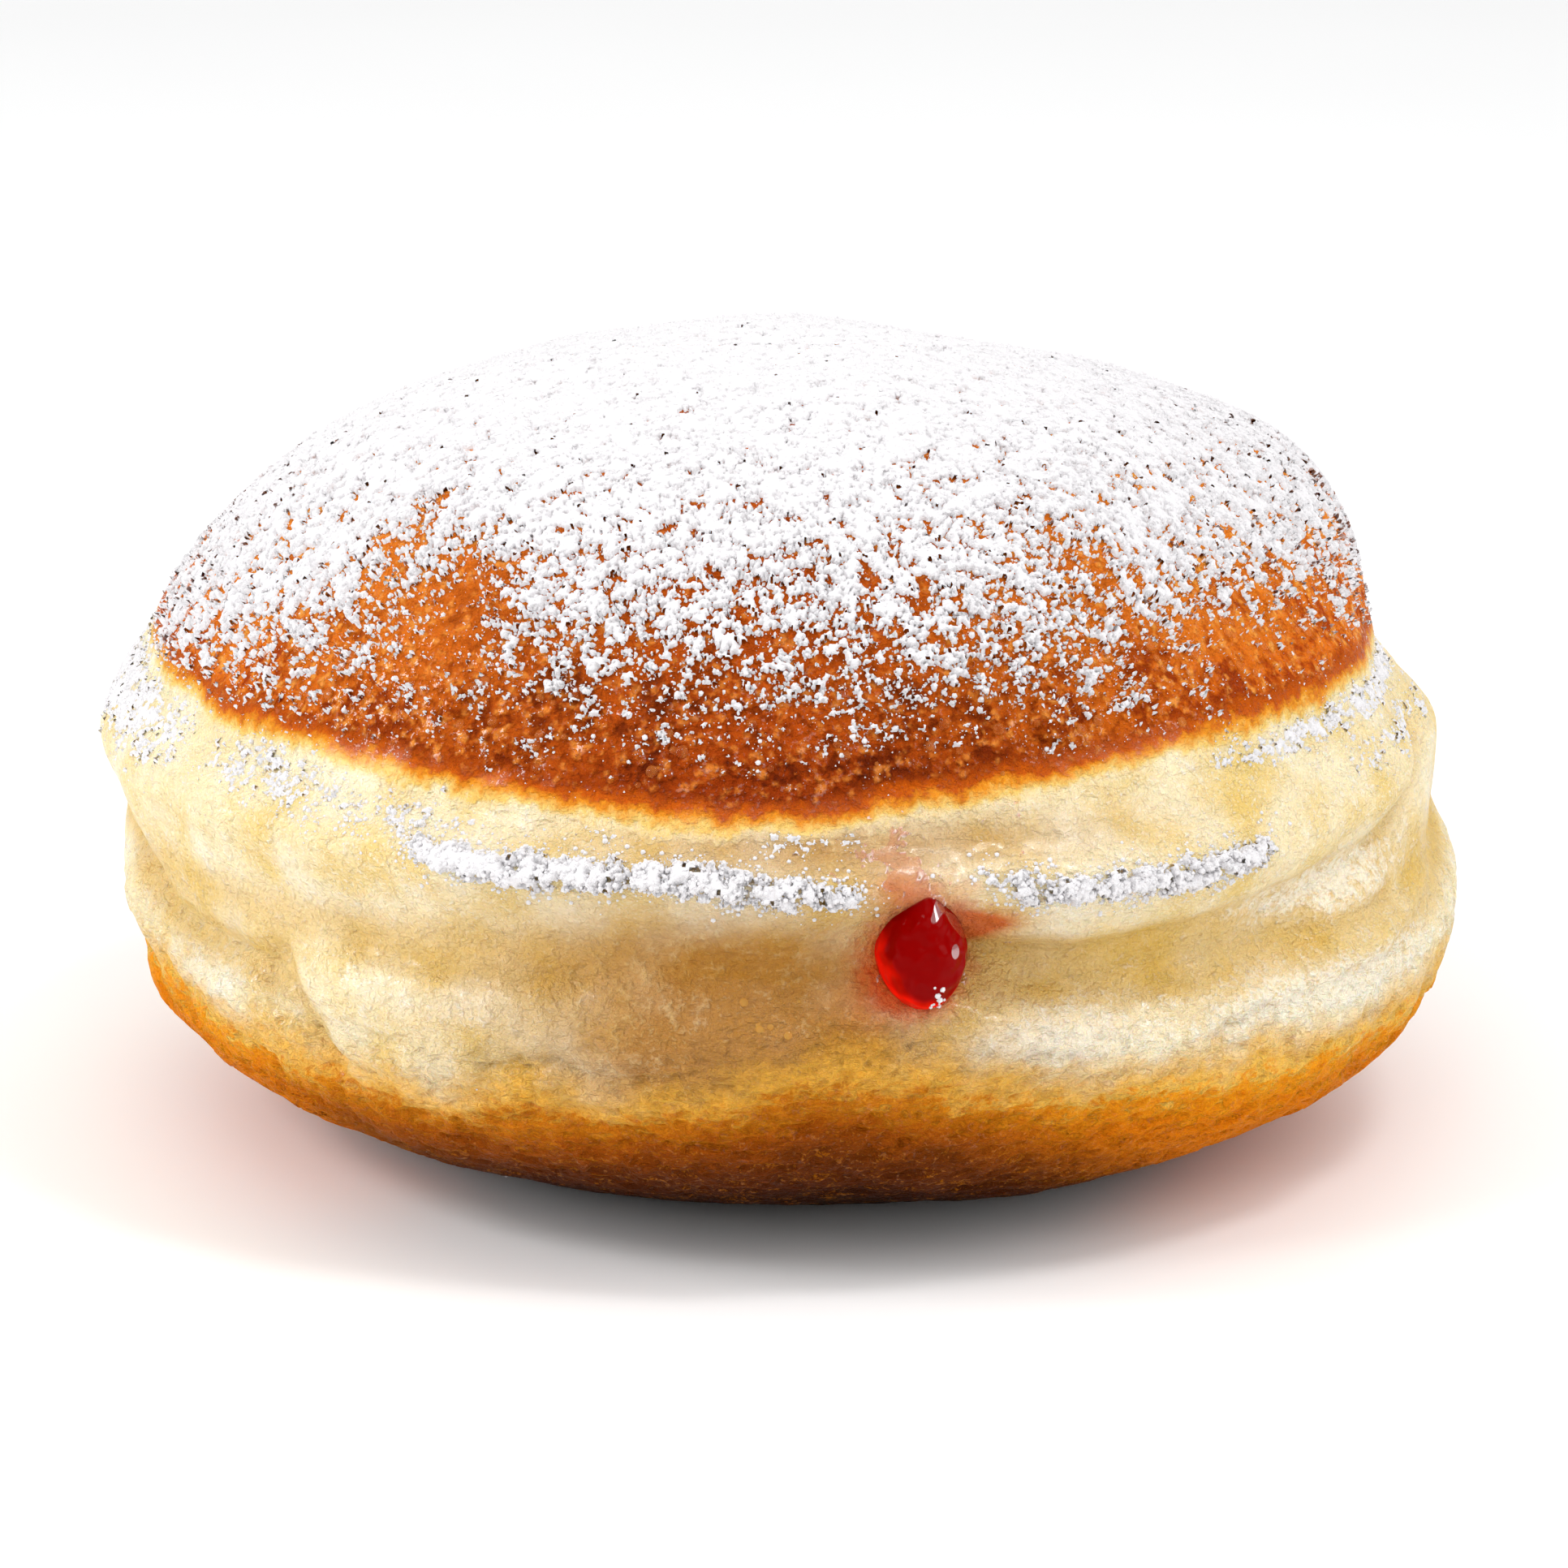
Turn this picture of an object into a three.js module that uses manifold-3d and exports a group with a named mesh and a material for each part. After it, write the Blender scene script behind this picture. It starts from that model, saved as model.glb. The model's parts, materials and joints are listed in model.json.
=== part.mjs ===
// A jelly-filled doughnut: a round of fried yeast dough, dusted with powdered sugar.
// A brown crown sits in a pale band that was never under the oil, with a brown foot below.
// The band has two soft rolls with a waist between them, and sugar has drifted on the upper one.
// The jelly went in through a hole in the waist at the front, and a bead of it shows there.
// +Z is up, -Y is the front, and the origin is on the table under the middle of the doughnut.
import * as THREE from "three";
import { mergeVertices } from "three/addons/utils/BufferGeometryUtils.js";
import Module from "manifold-3d";

const wasm = await Module();
wasm.setup();

// Driving dimensions, in millimetres. Angles are in degrees.
// Headings run round the doughnut from the front, positive to the right. Latitudes are seen from the heart.
const HEART_HEIGHT = 23;
// The outline of the plain round, as radius and height, from under the middle to the top.
const OUTLINE = [
  [0, -1.6],
  [20, -0.7],
  [33, 3.8],
  [40.7, 9],
  [43.1, 14.5],
  [43.6, 20],
  [43.3, 26],
  [42.2, 31],
  [40.6, 35.6],
  [36.6, 41.2],
  [28.2, 46.4],
  [15.4, 50.1],
  [0, 51.4],
];
const CROWN_STEP = 1.9;
const LEDGE_HEIGHT = { allRound: 0.3, atFront: 1.1 };
const WAIST_DEPTH = { allRound: 0.4, atFront: 1.4 };

const HOLE = { heading: 12.6, latitude: -0.3 };
const PUCKER = { depth: 1.3, reach: 7 };
const JELLY_GAP = 0.3;
// The jelly's run from its pocket at the heart to the bead in the hole: distance along it, and radius.
const JELLY_RUN = [
  [-10, 0],
  [-8, 5.6],
  [-2, 9.2],
  [5, 8.4],
  [12, 4.6],
  [18, 3.3],
  [30, 3.1],
  [37, 3.2],
  [40.2, 3.6],
  [41.9, 3],
  [42.9, 1.6],
  [43.2, 0],
];
const BEAD_WIDTH_SHARE = 0.8;
const POCKET_HEIGHT_SHARE = 0.8;
const JELLY_SIDES = 24;
const JELLY_STEPS = 26;

const DOUGH_DETAIL = 17;
const CROWN_CLUMPS = 96;
const DRIFT_CLUMPS = 48;
const CLUMP_RADIUS = { least: 0.7, most: 1.25 };
const COAT_RELIEF = 0.5;

// Swells and hollows that make the round uneven: where, how far they reach, and how high.
const SWELLS = [
  { name: "right shoulder", at: [105, 29], reach: [30, 11], height: 1.7 },
  { name: "right foot", at: [66, -20], reach: [32, 13], height: 1.9 },
  { name: "back slope", at: [165, 50], reach: [60, 14], height: -0.5 },
  { name: "saddle", at: [140, 53], reach: [18, 10], height: -1.1 },
  { name: "left slump", at: [-125, 42], reach: [32, 12], height: -0.7 },
  { name: "left groove", at: [-62, 32], reach: [5, 13], height: -0.8 },
  { name: "left shoulder", at: [-97, 19], reach: [16, 7], height: 0.8 },
  { name: "left belly", at: [-90, 7], reach: [40, 9], height: 0.9 },
  { name: "right belly", at: [86, -7], reach: [32, 8], height: 1.4 },
  { name: "right neck", at: [95, 12], reach: [24, 5], height: -1.1 },
  { name: "left tuck", at: [-78, -13], reach: [15, 4], height: -1 },
  { name: "front foot", at: [35, -30], reach: [22, 12], height: 0.8 },
];

// Creases in the band, as the headings and latitudes that each one joins.
const CREASES = [
  { name: "left fold", through: [[-90, 1], [-66, -7], [-49, -7.5]], depth: 1.5, width: 2.4 },
  { name: "left pleat", through: [[-47, -6], [-41, -13]], depth: 1.1, width: 2.2 },
  { name: "right waist", through: [[16, -1.5], [28, -4.2], [52, -4.5]], depth: 1.1, width: 2.6 },
  { name: "right upper fold", through: [[78, 6], [62, 0], [48, -2]], depth: 1, width: 2.2 },
  { name: "right lower fold", through: [[86, -4], [62, -8.5], [40, -10]], depth: 1, width: 2.4 },
  { name: "back right fold", through: [[118, 4], [140, -3], [158, -2]], depth: 1.3, width: 2.5 },
  { name: "back left fold", through: [[-150, 3], [-128, -5], [-108, -4]], depth: 1.3, width: 2.5 },
  { name: "back pleat", through: [[176, 1], [186, -9]], depth: 1.1, width: 2.3 },
];

// Blisters in the crust, as heading, latitude and radius.
const BLISTERS = [
  [19.7, 30.2, 1.4],
  [26.4, 18, 1.5],
  [20.5, 22, 1],
  [-31, 19, 1.1],
  [58, 24, 1.2],
  [-118, 26, 1.4],
  [150, 30, 1.3],
];

const DEGREE = Math.PI / 180;
const GOLDEN_TURN = Math.PI * (3 - Math.sqrt(5));

const bell = (x, reach) => Math.exp(-((x / reach) ** 2));
const rise = (x, width) => 1 / (1 + Math.exp(-x / width));
const wrap = (heading) => ((((heading + 180) % 360) + 360) % 360) - 180;

function seededDraw(seed) {
  let state = seed;
  return () => {
    state = (state * 48271) % 2147483647;
    return state / 2147483647;
  };
}

// The unit direction from the heart at a heading and latitude.
function direction(heading, latitude) {
  const level = Math.cos(latitude * DEGREE);
  return new THREE.Vector3(
    Math.sin(heading * DEGREE) * level,
    -Math.cos(heading * DEGREE) * level,
    Math.sin(latitude * DEGREE),
  );
}

// Distance from the heart to the plain round, by a smooth curve through the outline's points.
const knots = OUTLINE.map(([radius, height]) => {
  const up = height - HEART_HEIGHT;
  return { latitude: Math.atan2(up, radius) / DEGREE, reach: Math.hypot(radius, up) };
});
const slopes = knots.map((knot, i) => {
  const before = knots[i - 1];
  const after = knots[i + 1];
  return before && after ? (after.reach - before.reach) / (after.latitude - before.latitude) : 0;
});

function plainReach(latitude) {
  let i = 0;
  while (i < knots.length - 2 && latitude > knots[i + 1].latitude) i++;
  const span = knots[i + 1].latitude - knots[i].latitude;
  const t = (latitude - knots[i].latitude) / span;
  return (
    (1 + 2 * t) * (1 - t) ** 2 * knots[i].reach +
    t * (1 - t) ** 2 * span * slopes[i] +
    t * t * (3 - 2 * t) * knots[i + 1].reach +
    t * t * (t - 1) * span * slopes[i + 1]
  );
}

// Latitudes of the crown's edge, of the ledge where sugar drifts, and of the waist below it.
function crownEdge(heading) {
  return (
    13.6 -
    2.2 * bell(wrap(heading), 40) +
    1.6 * bell(wrap(heading - 70), 30) +
    0.4 * Math.sin((3 * heading + 30) * DEGREE)
  );
}

function ledgeLine(heading) {
  return 5 + 1.2 * bell(wrap(heading + 15), 45) - 1.2 * bell(wrap(heading - 35), 25);
}

const waistLine = (heading) => ledgeLine(heading) - 7.6;

function rolls(heading, latitude) {
  const front = bell(wrap(heading), 70);
  const edge = crownEdge(heading);
  const crown = rise(latitude - edge, 1.6) * (1 - rise(latitude - 32, 5));
  const groove = bell(latitude - edge + 2.5, 2.6);
  const ledge = LEDGE_HEIGHT.allRound + LEDGE_HEIGHT.atFront * front;
  const waist = WAIST_DEPTH.allRound + WAIST_DEPTH.atFront * front;
  return (
    -CROWN_STEP * crown -
    0.8 * groove +
    ledge * bell(latitude - ledgeLine(heading), 2.4) -
    waist * bell(latitude - waistLine(heading), 3.8)
  );
}

function swells(heading, latitude) {
  return SWELLS.reduce(
    (sum, { at, reach, height }) =>
      sum + height * bell(wrap(heading - at[0]), reach[0]) * bell(latitude - at[1], reach[1]),
    0,
  );
}

// Distance in degrees from a heading and latitude to the straight run between two others.
function distanceToRun(heading, latitude, from, to) {
  const run = [to[0] - from[0], to[1] - from[1]];
  const here = [wrap(heading - from[0]), latitude - from[1]];
  const share = (here[0] * run[0] + here[1] * run[1]) / (run[0] ** 2 + run[1] ** 2);
  const t = Math.min(1, Math.max(0, share));
  return Math.hypot(here[0] - t * run[0], here[1] - t * run[1]);
}

function creases(heading, latitude) {
  return CREASES.reduce((sum, { through, depth, width }) => {
    const distances = through
      .slice(1)
      .map((to, i) => distanceToRun(heading, latitude, through[i], to));
    return sum - depth * bell(Math.min(...distances), width);
  }, 0);
}

// Smooth unevenness about 1 high: waves of about one size that run in many directions.
function lumps(point, size) {
  const waves = 9;
  let sum = 0;
  for (let i = 0; i < waves; i++) {
    const up = 1 - (2 * i + 1) / waves;
    const level = Math.sqrt(1 - up * up);
    const turn = i * GOLDEN_TURN;
    const along = level * (point.x * Math.cos(turn) + point.y * Math.sin(turn)) + point.z * up;
    sum += Math.sin((2 * Math.PI * along) / (size * (1 + 0.1 * i)) + i * i);
  }
  return sum / Math.sqrt(waves);
}

const holeDirection = direction(HOLE.heading, HOLE.latitude);

// How thickly sugar lies, from 0 to 1: full on the crown's top, thin down its sides.
function dusting(heading, latitude) {
  const lowest = 21 - 7 * bell(wrap(heading + 80), 45) - 5 * bell(wrap(heading - 75), 30);
  return rise(latitude - lowest - 9, 4.5);
}

// The point of the dough's skin in a direction from the heart.
function skin(toward) {
  const latitude = Math.asin(THREE.MathUtils.clamp(toward.z, -1, 1)) / DEGREE;
  const heading = Math.atan2(toward.x, -toward.y) / DEGREE;
  const fromHole = toward.angleTo(holeDirection) / DEGREE;
  const plain = plainReach(latitude);
  const place = toward.clone().multiplyScalar(plain);
  const onBand = rise(crownEdge(heading) - latitude, 2) * rise(latitude + 30, 5);
  const reach =
    plain +
    rolls(heading, latitude) +
    swells(heading, latitude) +
    creases(heading, latitude) -
    PUCKER.depth * bell(fromHole, PUCKER.reach) +
    0.14 * lumps(place, 11) +
    onBand * 0.2 * lumps(place, 6.5);
  const point = toward.clone().multiplyScalar(reach);
  point.z = Math.max(0, point.z + HEART_HEIGHT);
  return point;
}

function solidOf(geometry) {
  const bare = geometry.clone();
  bare.deleteAttribute("normal");
  bare.deleteAttribute("uv");
  const merged = mergeVertices(bare, 1e-4);
  return new wasm.Manifold(
    new wasm.Mesh({
      numProp: 3,
      vertProperties: new Float32Array(merged.attributes.position.array),
      triVerts: new Uint32Array(merged.index.array),
    }),
  );
}

function geometryOf(solid) {
  const mesh = solid.getMesh();
  const geometry = new THREE.BufferGeometry();
  geometry.setAttribute("position", new THREE.BufferAttribute(mesh.vertProperties, 3));
  geometry.setIndex(new THREE.BufferAttribute(mesh.triVerts, 1));
  geometry.computeVertexNormals();
  return geometry;
}

// The dough's skin with the sugar coat's relief on the crown.
function skinGeometry() {
  const draw = seededDraw(7);
  const bare = new THREE.IcosahedronGeometry(1, DOUGH_DETAIL);
  bare.deleteAttribute("normal");
  bare.deleteAttribute("uv");
  const round = mergeVertices(bare, 1e-4);
  const position = round.attributes.position;
  for (let i = 0; i < position.count; i++) {
    const toward = new THREE.Vector3().fromBufferAttribute(position, i).normalize();
    const latitude = Math.asin(toward.z) / DEGREE;
    const heading = Math.atan2(toward.x, -toward.y) / DEGREE;
    const coat = COAT_RELIEF * draw() * dusting(heading, latitude);
    const point = skin(toward).addScaledVector(toward, coat);
    position.setXYZ(i, point.x, point.y, point.z);
  }
  return round;
}

// A lump half sunk in the skin: a clump of sugar or a blister in the crust.
function lumpOnSkin(heading, latitude, radius, flatness, draw) {
  const toward = direction(heading, latitude);
  const lump = new THREE.OctahedronGeometry(radius, 0);
  lump.rotateX(draw() * Math.PI);
  lump.rotateZ(draw() * Math.PI);
  lump.scale(1, 1, flatness);
  lump.applyQuaternion(new THREE.Quaternion().setFromUnitVectors(new THREE.Vector3(0, 0, 1), toward));
  const point = skin(toward);
  lump.translate(point.x, point.y, point.z);
  return solidOf(lump);
}

// Clumps spread evenly over the crown, with the places drawn a little to and fro.
function crownClumps() {
  const draw = seededDraw(11);
  const clumps = [];
  const lowest = Math.sin(15 * DEGREE);
  for (let i = 0; i < CROWN_CLUMPS; i++) {
    const up = lowest + ((1 - lowest) * (i + draw())) / CROWN_CLUMPS;
    const latitude = Math.asin(up) / DEGREE;
    const heading = wrap((i * GOLDEN_TURN) / DEGREE + 6 * (draw() - 0.5));
    const radius = THREE.MathUtils.lerp(CLUMP_RADIUS.least, CLUMP_RADIUS.most, draw());
    clumps.push(lumpOnSkin(heading, latitude, radius, 0.75, draw));
  }
  return clumps;
}

// The drift of sugar along the ledge, left and right of the hole.
function driftClumps() {
  const draw = seededDraw(23);
  const stretches = [
    { from: -44, to: 8, share: 0.62 },
    { from: 17, to: 47, share: 0.38 },
  ];
  return stretches.flatMap(({ from, to, share }) => {
    const count = Math.round(DRIFT_CLUMPS * share);
    return Array.from({ length: count }, (_, i) => {
      const heading = THREE.MathUtils.lerp(from, to, (i + draw()) / count);
      const latitude = ledgeLine(heading) + 0.6 + 1.2 * (draw() - 0.5);
      const radius = THREE.MathUtils.lerp(CLUMP_RADIUS.least, CLUMP_RADIUS.most, draw());
      return lumpOnSkin(heading, latitude, radius, 0.8, draw);
    });
  });
}

function blisters() {
  const draw = seededDraw(31);
  return BLISTERS.map(([heading, latitude, radius]) =>
    lumpOnSkin(heading, latitude, radius, 0.6, draw),
  );
}

// The jelly's round body, grown by a gap where it is used to cut the dough.
function jellyGeometry(gap) {
  const line = new THREE.SplineCurve(
    JELLY_RUN.map(([along, radius]) => new THREE.Vector2(radius, along)),
  );
  const profile = line.getPoints(JELLY_STEPS);
  const ends = [0, profile.length - 1];
  const grown = profile.map((point, i) => {
    const outward = line.getTangent(i / JELLY_STEPS).rotateAround(new THREE.Vector2(), -Math.PI / 2);
    const moved = point.clone().addScaledVector(outward, gap);
    return new THREE.Vector2(ends.includes(i) ? 0 : Math.max(moved.x, 0.2), moved.y);
  });
  const body = new THREE.LatheGeometry(grown, JELLY_SIDES);
  const position = body.attributes.position;
  for (let i = 0; i < position.count; i++) {
    const nearHole = THREE.MathUtils.smoothstep(position.getY(i), 8, 20);
    position.setX(i, position.getX(i) * THREE.MathUtils.lerp(1, BEAD_WIDTH_SHARE, nearHole));
    position.setZ(i, position.getZ(i) * THREE.MathUtils.lerp(POCKET_HEIGHT_SHARE, 1, nearHole));
  }
  body.rotateX(Math.PI);
  return body;
}

// Turns a body built along -Y so that it runs from the heart to the hole.
function aimAtHole(geometry) {
  geometry.rotateX(-HOLE.latitude * DEGREE);
  geometry.rotateZ(HOLE.heading * DEGREE);
  geometry.translate(0, 0, HEART_HEIGHT);
  return geometry;
}

const jellyMaterial = new THREE.MeshStandardMaterial({ color: 0xa30808, roughness: 0.12, metalness: 0 });
const doughMaterial = new THREE.MeshStandardMaterial({ color: 0xc98a45, roughness: 0.75, metalness: 0 });

const jellySolid = solidOf(aimAtHole(jellyGeometry(0)));
const hollow = solidOf(aimAtHole(jellyGeometry(JELLY_GAP)));
const toppings = [...crownClumps(), ...driftClumps(), ...blisters()];
const doughSolid = wasm.Manifold.union([solidOf(skinGeometry()), ...toppings]).subtract(hollow);

const dough = new THREE.Mesh(geometryOf(doughSolid), doughMaterial);
dough.name = "dough";
const jelly = new THREE.Mesh(geometryOf(jellySolid), jellyMaterial);
jelly.name = "jelly";

const doughnut = new THREE.Group();
doughnut.add(dough, jelly);

// Sets the middle of the doughnut's outline over the origin.
const middle = new THREE.Box3().setFromObject(doughnut).getCenter(new THREE.Vector3());
doughnut.position.set(-middle.x, -middle.y, 0);

export default doughnut;
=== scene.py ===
"""A jelly filled doughnut: fried yeast dough dusted with powdered sugar, with a bead of jelly at the front.

The dough's skin is a function of direction from its heart, the same one that its solid follows.
Blender adds what is finer: the pebbled crust, the wrinkles of the pale band, the sugar and the finishes.
Lengths are in millimetres and angles in degrees, until a mesh is written in metres.
"""

import json
import math

import bmesh
import bpy
import numpy as np
from bpy.props import FloatProperty, FloatVectorProperty, IntProperty, PointerProperty
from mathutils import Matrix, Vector

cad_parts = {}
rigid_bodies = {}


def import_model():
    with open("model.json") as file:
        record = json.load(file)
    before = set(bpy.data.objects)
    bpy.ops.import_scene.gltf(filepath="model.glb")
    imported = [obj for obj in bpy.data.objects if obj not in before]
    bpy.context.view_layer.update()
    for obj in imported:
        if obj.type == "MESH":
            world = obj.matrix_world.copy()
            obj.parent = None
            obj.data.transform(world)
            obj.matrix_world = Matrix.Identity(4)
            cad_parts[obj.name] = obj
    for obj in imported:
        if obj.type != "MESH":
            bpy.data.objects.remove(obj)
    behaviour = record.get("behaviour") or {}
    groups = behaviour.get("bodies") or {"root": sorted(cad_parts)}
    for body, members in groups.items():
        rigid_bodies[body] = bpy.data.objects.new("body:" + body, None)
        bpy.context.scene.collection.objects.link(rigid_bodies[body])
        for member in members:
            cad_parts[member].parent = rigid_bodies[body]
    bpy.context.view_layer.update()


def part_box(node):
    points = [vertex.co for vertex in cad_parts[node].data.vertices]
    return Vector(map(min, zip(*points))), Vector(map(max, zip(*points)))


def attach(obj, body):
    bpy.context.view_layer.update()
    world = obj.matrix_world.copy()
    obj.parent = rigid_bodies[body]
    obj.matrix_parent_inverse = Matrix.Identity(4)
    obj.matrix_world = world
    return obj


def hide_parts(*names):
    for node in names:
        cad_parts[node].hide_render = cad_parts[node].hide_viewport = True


bl_info = {
    "name": "Jelly filled doughnut",
    "version": (1, 0, 0),
    "blender": (4, 5, 0),
    "location": "View3D > Sidebar > Doughnut",
    "description": "Builds a sugar dusted doughnut with a bead of jelly",
    "category": "Add Mesh",
}

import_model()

MM = 0.001

# The round, as its solid has it. Headings run from the front, positive to the right.
HEART_HEIGHT = 23.0
OUTLINE = (
    (0, -1.6),
    (20, -0.7),
    (33, 3.8),
    (40.7, 9),
    (43.1, 14.5),
    (43.6, 20),
    (43.3, 26),
    (42.2, 31),
    (40.6, 35.6),
    (36.6, 41.2),
    (28.2, 46.4),
    (15.4, 50.1),
    (0, 51.4),
)

# The ledge's height and the waist's depth, each at the back and then what the front adds.
LEDGE_HEIGHT = (0.3, 1.1)
WAIST_DEPTH = (0.4, 1.4)

# The heading and latitude of the hole, and how far its pucker reaches round it.
HOLE = (12.6, -0.3)
PUCKER_REACH = 7

# Swells and hollows: heading, latitude, reach in each, height.
SWELLS = {
    "right shoulder": (105, 29, 30, 11, 1.7),
    "right foot": (66, -20, 32, 13, 1.9),
    "back slope": (165, 50, 60, 14, -0.5),
    "saddle": (140, 53, 18, 10, -1.1),
    "left slump": (-125, 42, 32, 12, -0.7),
    "left groove": (-62, 32, 5, 13, -0.8),
    "left shoulder": (-97, 19, 16, 7, 0.8),
    "left belly": (-90, 7, 40, 9, 0.9),
    "right belly": (86, -7, 32, 8, 1.4),
    "right neck": (95, 12, 24, 5, -1.1),
    "left tuck": (-78, -13, 15, 4, -1),
    "front foot": (35, -30, 22, 12, 0.8),
}

# Creases in the band: the headings and latitudes that each joins, its depth and its width.
CREASES = {
    "left fold": (((-90, 1), (-66, -7), (-49, -7.5)), 1.5, 2.4),
    "left pleat": (((-47, -6), (-41, -13)), 1.1, 2.2),
    "right waist": (((16, -1.5), (28, -4.2), (52, -4.5)), 1.1, 2.6),
    "right upper fold": (((78, 6), (62, 0), (48, -2)), 1, 2.2),
    "right lower fold": (((86, -4), (62, -8.5), (40, -10)), 1, 2.4),
    "back right fold": (((118, 4), (140, -3), (158, -2)), 1.3, 2.5),
    "back left fold": (((-150, 3), (-128, -5), (-108, -4)), 1.3, 2.5),
    "back pleat": (((176, 1), (186, -9)), 1.1, 2.3),
}

# How much deeper a crease is along its bottom, as a share of its depth.
CREASE_BOTTOM = 0.25

# Finer creases, in the same way.
FINE_CREASES = {
    "under the drift": (((-38, -3.4), (-26, -4), (-17, -3.6)), 0.55, 1.5),
    "right upper": (((17, -0.8), (26, -2), (37, -1.2), (55, 0.4)), 0.5, 1.1),
    "right middle": (((22, -4.2), (30, -6.6), (38, -6.4), (64, -4.6)), 0.6, 1.2),
    "left low": (((-41, -10), (-35, -10.6), (-30, -9.8)), 0.22, 1.4),
    "left pleat end": (((-50, -8), (-47, -11), (-43, -12)), 0.35, 1.2),
    "front low": (((-24, -11), (-18, -10.4), (-11, -11.2)), 0.35, 0.9),
}

# Rolls with a crisp upper edge: the edge's headings and latitudes, the height and the reach below it.
RIDGES = (
    (
        ((14, -4.8), (21.5, -6), (27, -7.8), (30.5, -9.6), (34.5, -8.8), (45, -7.8), (60, -6.6), (76, -4)),
        0.85,
        4,
    ),
    (((-44, -10.2), (-38, -11.4), (-30, -10.8), (-26, -11.6)), 0.5, 1.6),
    (((-24, -12), (-18, -11.4), (-10, -12.2)), 0.4, 1.4),
)

# Paler patches of the band: heading, latitude, reach in each, amount.
PALE = (
    (56, -1.6, 13, 2.6, 0.9),
    (52, -9.4, 22, 2.4, 1),
    (23, -8, 7, 2, 0.9),
    (-57, -10.5, 7, 2.6, 0.6),
    (-31, -6.4, 12, 1.5, 0.5),
)

# Where jelly has soaked into the dough round the hole, in the same way.
STAIN = (
    (16.6, 1.2, 2.6, 1.6, 1.3),
    (18.8, 1.6, 2.4, 1, 0.6),
    (9, -4, 3, 2.2, 0.8),
    (10, 5.2, 2.6, 1.6, 0.7),
)

# Blisters in the crust: heading, latitude, radius.
BLISTERS = (
    (19.7, 30.2, 1.4),
    (26.4, 18, 1.5),
    (20.5, 22, 1),
    (-31, 19, 1.1),
    (58, 24, 1.2),
    (-118, 26, 1.4),
    (150, 30, 1.3),
)

# The jelly's run from its pocket at the heart to the bead: distance along it, and radius.
JELLY_RUN = (
    (-10, 0),
    (-8, 5.6),
    (-2, 9.2),
    (5, 8.4),
    (12, 4.6),
    (18, 3.3),
    (30, 3.1),
    (37, 3.2),
    (40.2, 3.6),
    (41.9, 3),
    (42.9, 1.6),
    (43.2, 0),
)
BEAD_WIDTH_SHARE = 0.8
POCKET_HEIGHT_SHARE = 0.8

# How the bead swells out of the hole: added to its radius and length, and where along the run it does.
BEAD_SWELL = {"radius": 0.5, "length": 1.2, "from": 38.5, "to": 42}

# The hollow in the dough is narrower than the jelly all round, so that no gap shows.
HOLLOW_GROWTH = -0.15

# How thickly sugar lies on the crown at the front, by latitude. 0.5 covers a fifth, 3.5 nearly all.
SUGAR_BY_LATITUDE = ((8, -2.6), (14, -0.9), (17, -0.2), (22, 0.6), (28, 1.4), (35, 1.9), (45, 2.4), (60, 3))

# The middle of the drift of sugar on the ledge, as headings and latitudes.
DRIFT_LINE = (
    (-180, 5),
    (-110, 5.4),
    (-66, 9.6),
    (-52, 9),
    (-38, 7.6),
    (-24, 6.2),
    (-6.6, 6.4),
    (8.5, 4.6),
    (14.6, 6.2),
    (23, 4.4),
    (39, 4),
    (52, 4.8),
    (110, 5),
    (180, 5),
)

# Loose sugar on the band: from heading, to heading, latitude, its reach, amount. 6.4 covers a third.
DUST = (
    (-104, -60, 9, 6.4, 7.1),
    (-62, -36, 9.6, 4.4, 6.8),
    (-40, -22, 9, 3, 6.8),
    (-24, -6, 9.2, 1.8, 5.4),
    (-4, 8, 9, 1.8, 8.1),
    (38, 96, 11.8, 2.6, 7.2),
    (56, 92, 8, 3.6, 6.2),
    (110, 240, 10, 3, 6.2),
)

# Barer patches of the crown: heading, latitude, reach in each, amount taken off.
BARE = (
    (-35, 27, 5, 6, 2.2),
    (-46, 33, 4, 6, 1.2),
    (36, 33, 5, 5, 1.2),
    (52, 22, 14, 4, 1),
)

# How much sugar lies in the middle of the drift, and how much the band takes off again.
DRIFT_AMOUNT = 7.9
BARE_BAND = 5.6

# How many degrees a stretch of loose sugar takes to fade out at its ends.
DUST_SOFTNESS = 2.5

# Latitudes between which the coat is cut into pieces, so that each stays small enough.
COAT_START = -30
COAT_TOP = 44

# Which way the meshes are closer set: towards the camera, and for sugar also upwards.
DOUGH_LEAN = (0, -0.3, 0.04)
COAT_LEAN = (0, -0.34, 0.14)

# What the camera looks at, its elevation, and the widths of the picture there and of the sensor.
AIM = (0.6, 0.0, 21.5)
CAMERA_ELEVATION = 16
PICTURE_WIDTH = 105
SENSOR = 36


def linear(red, green, blue):
    """A colour given as 0 to 255 on screen, as the linear values that shaders take."""
    shares = (channel / 255 for channel in (red, green, blue))
    return tuple(s / 12.92 if s <= 0.04045 else ((s + 0.055) / 1.055) ** 2.4 for s in shares)


# Sizes and colours that a user would change


def colour_setting(name, description, *screen):
    """A colour that a user can change, given as 0 to 255 on screen."""
    return FloatVectorProperty(
        name=name, description=description, subtype="COLOR", size=3, default=linear(*screen)
    )


def size_setting(name, description, default):
    """A size in mm that a user can change."""
    return FloatProperty(name=name, description=f"{description}, in mm", default=default, min=0)


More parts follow.
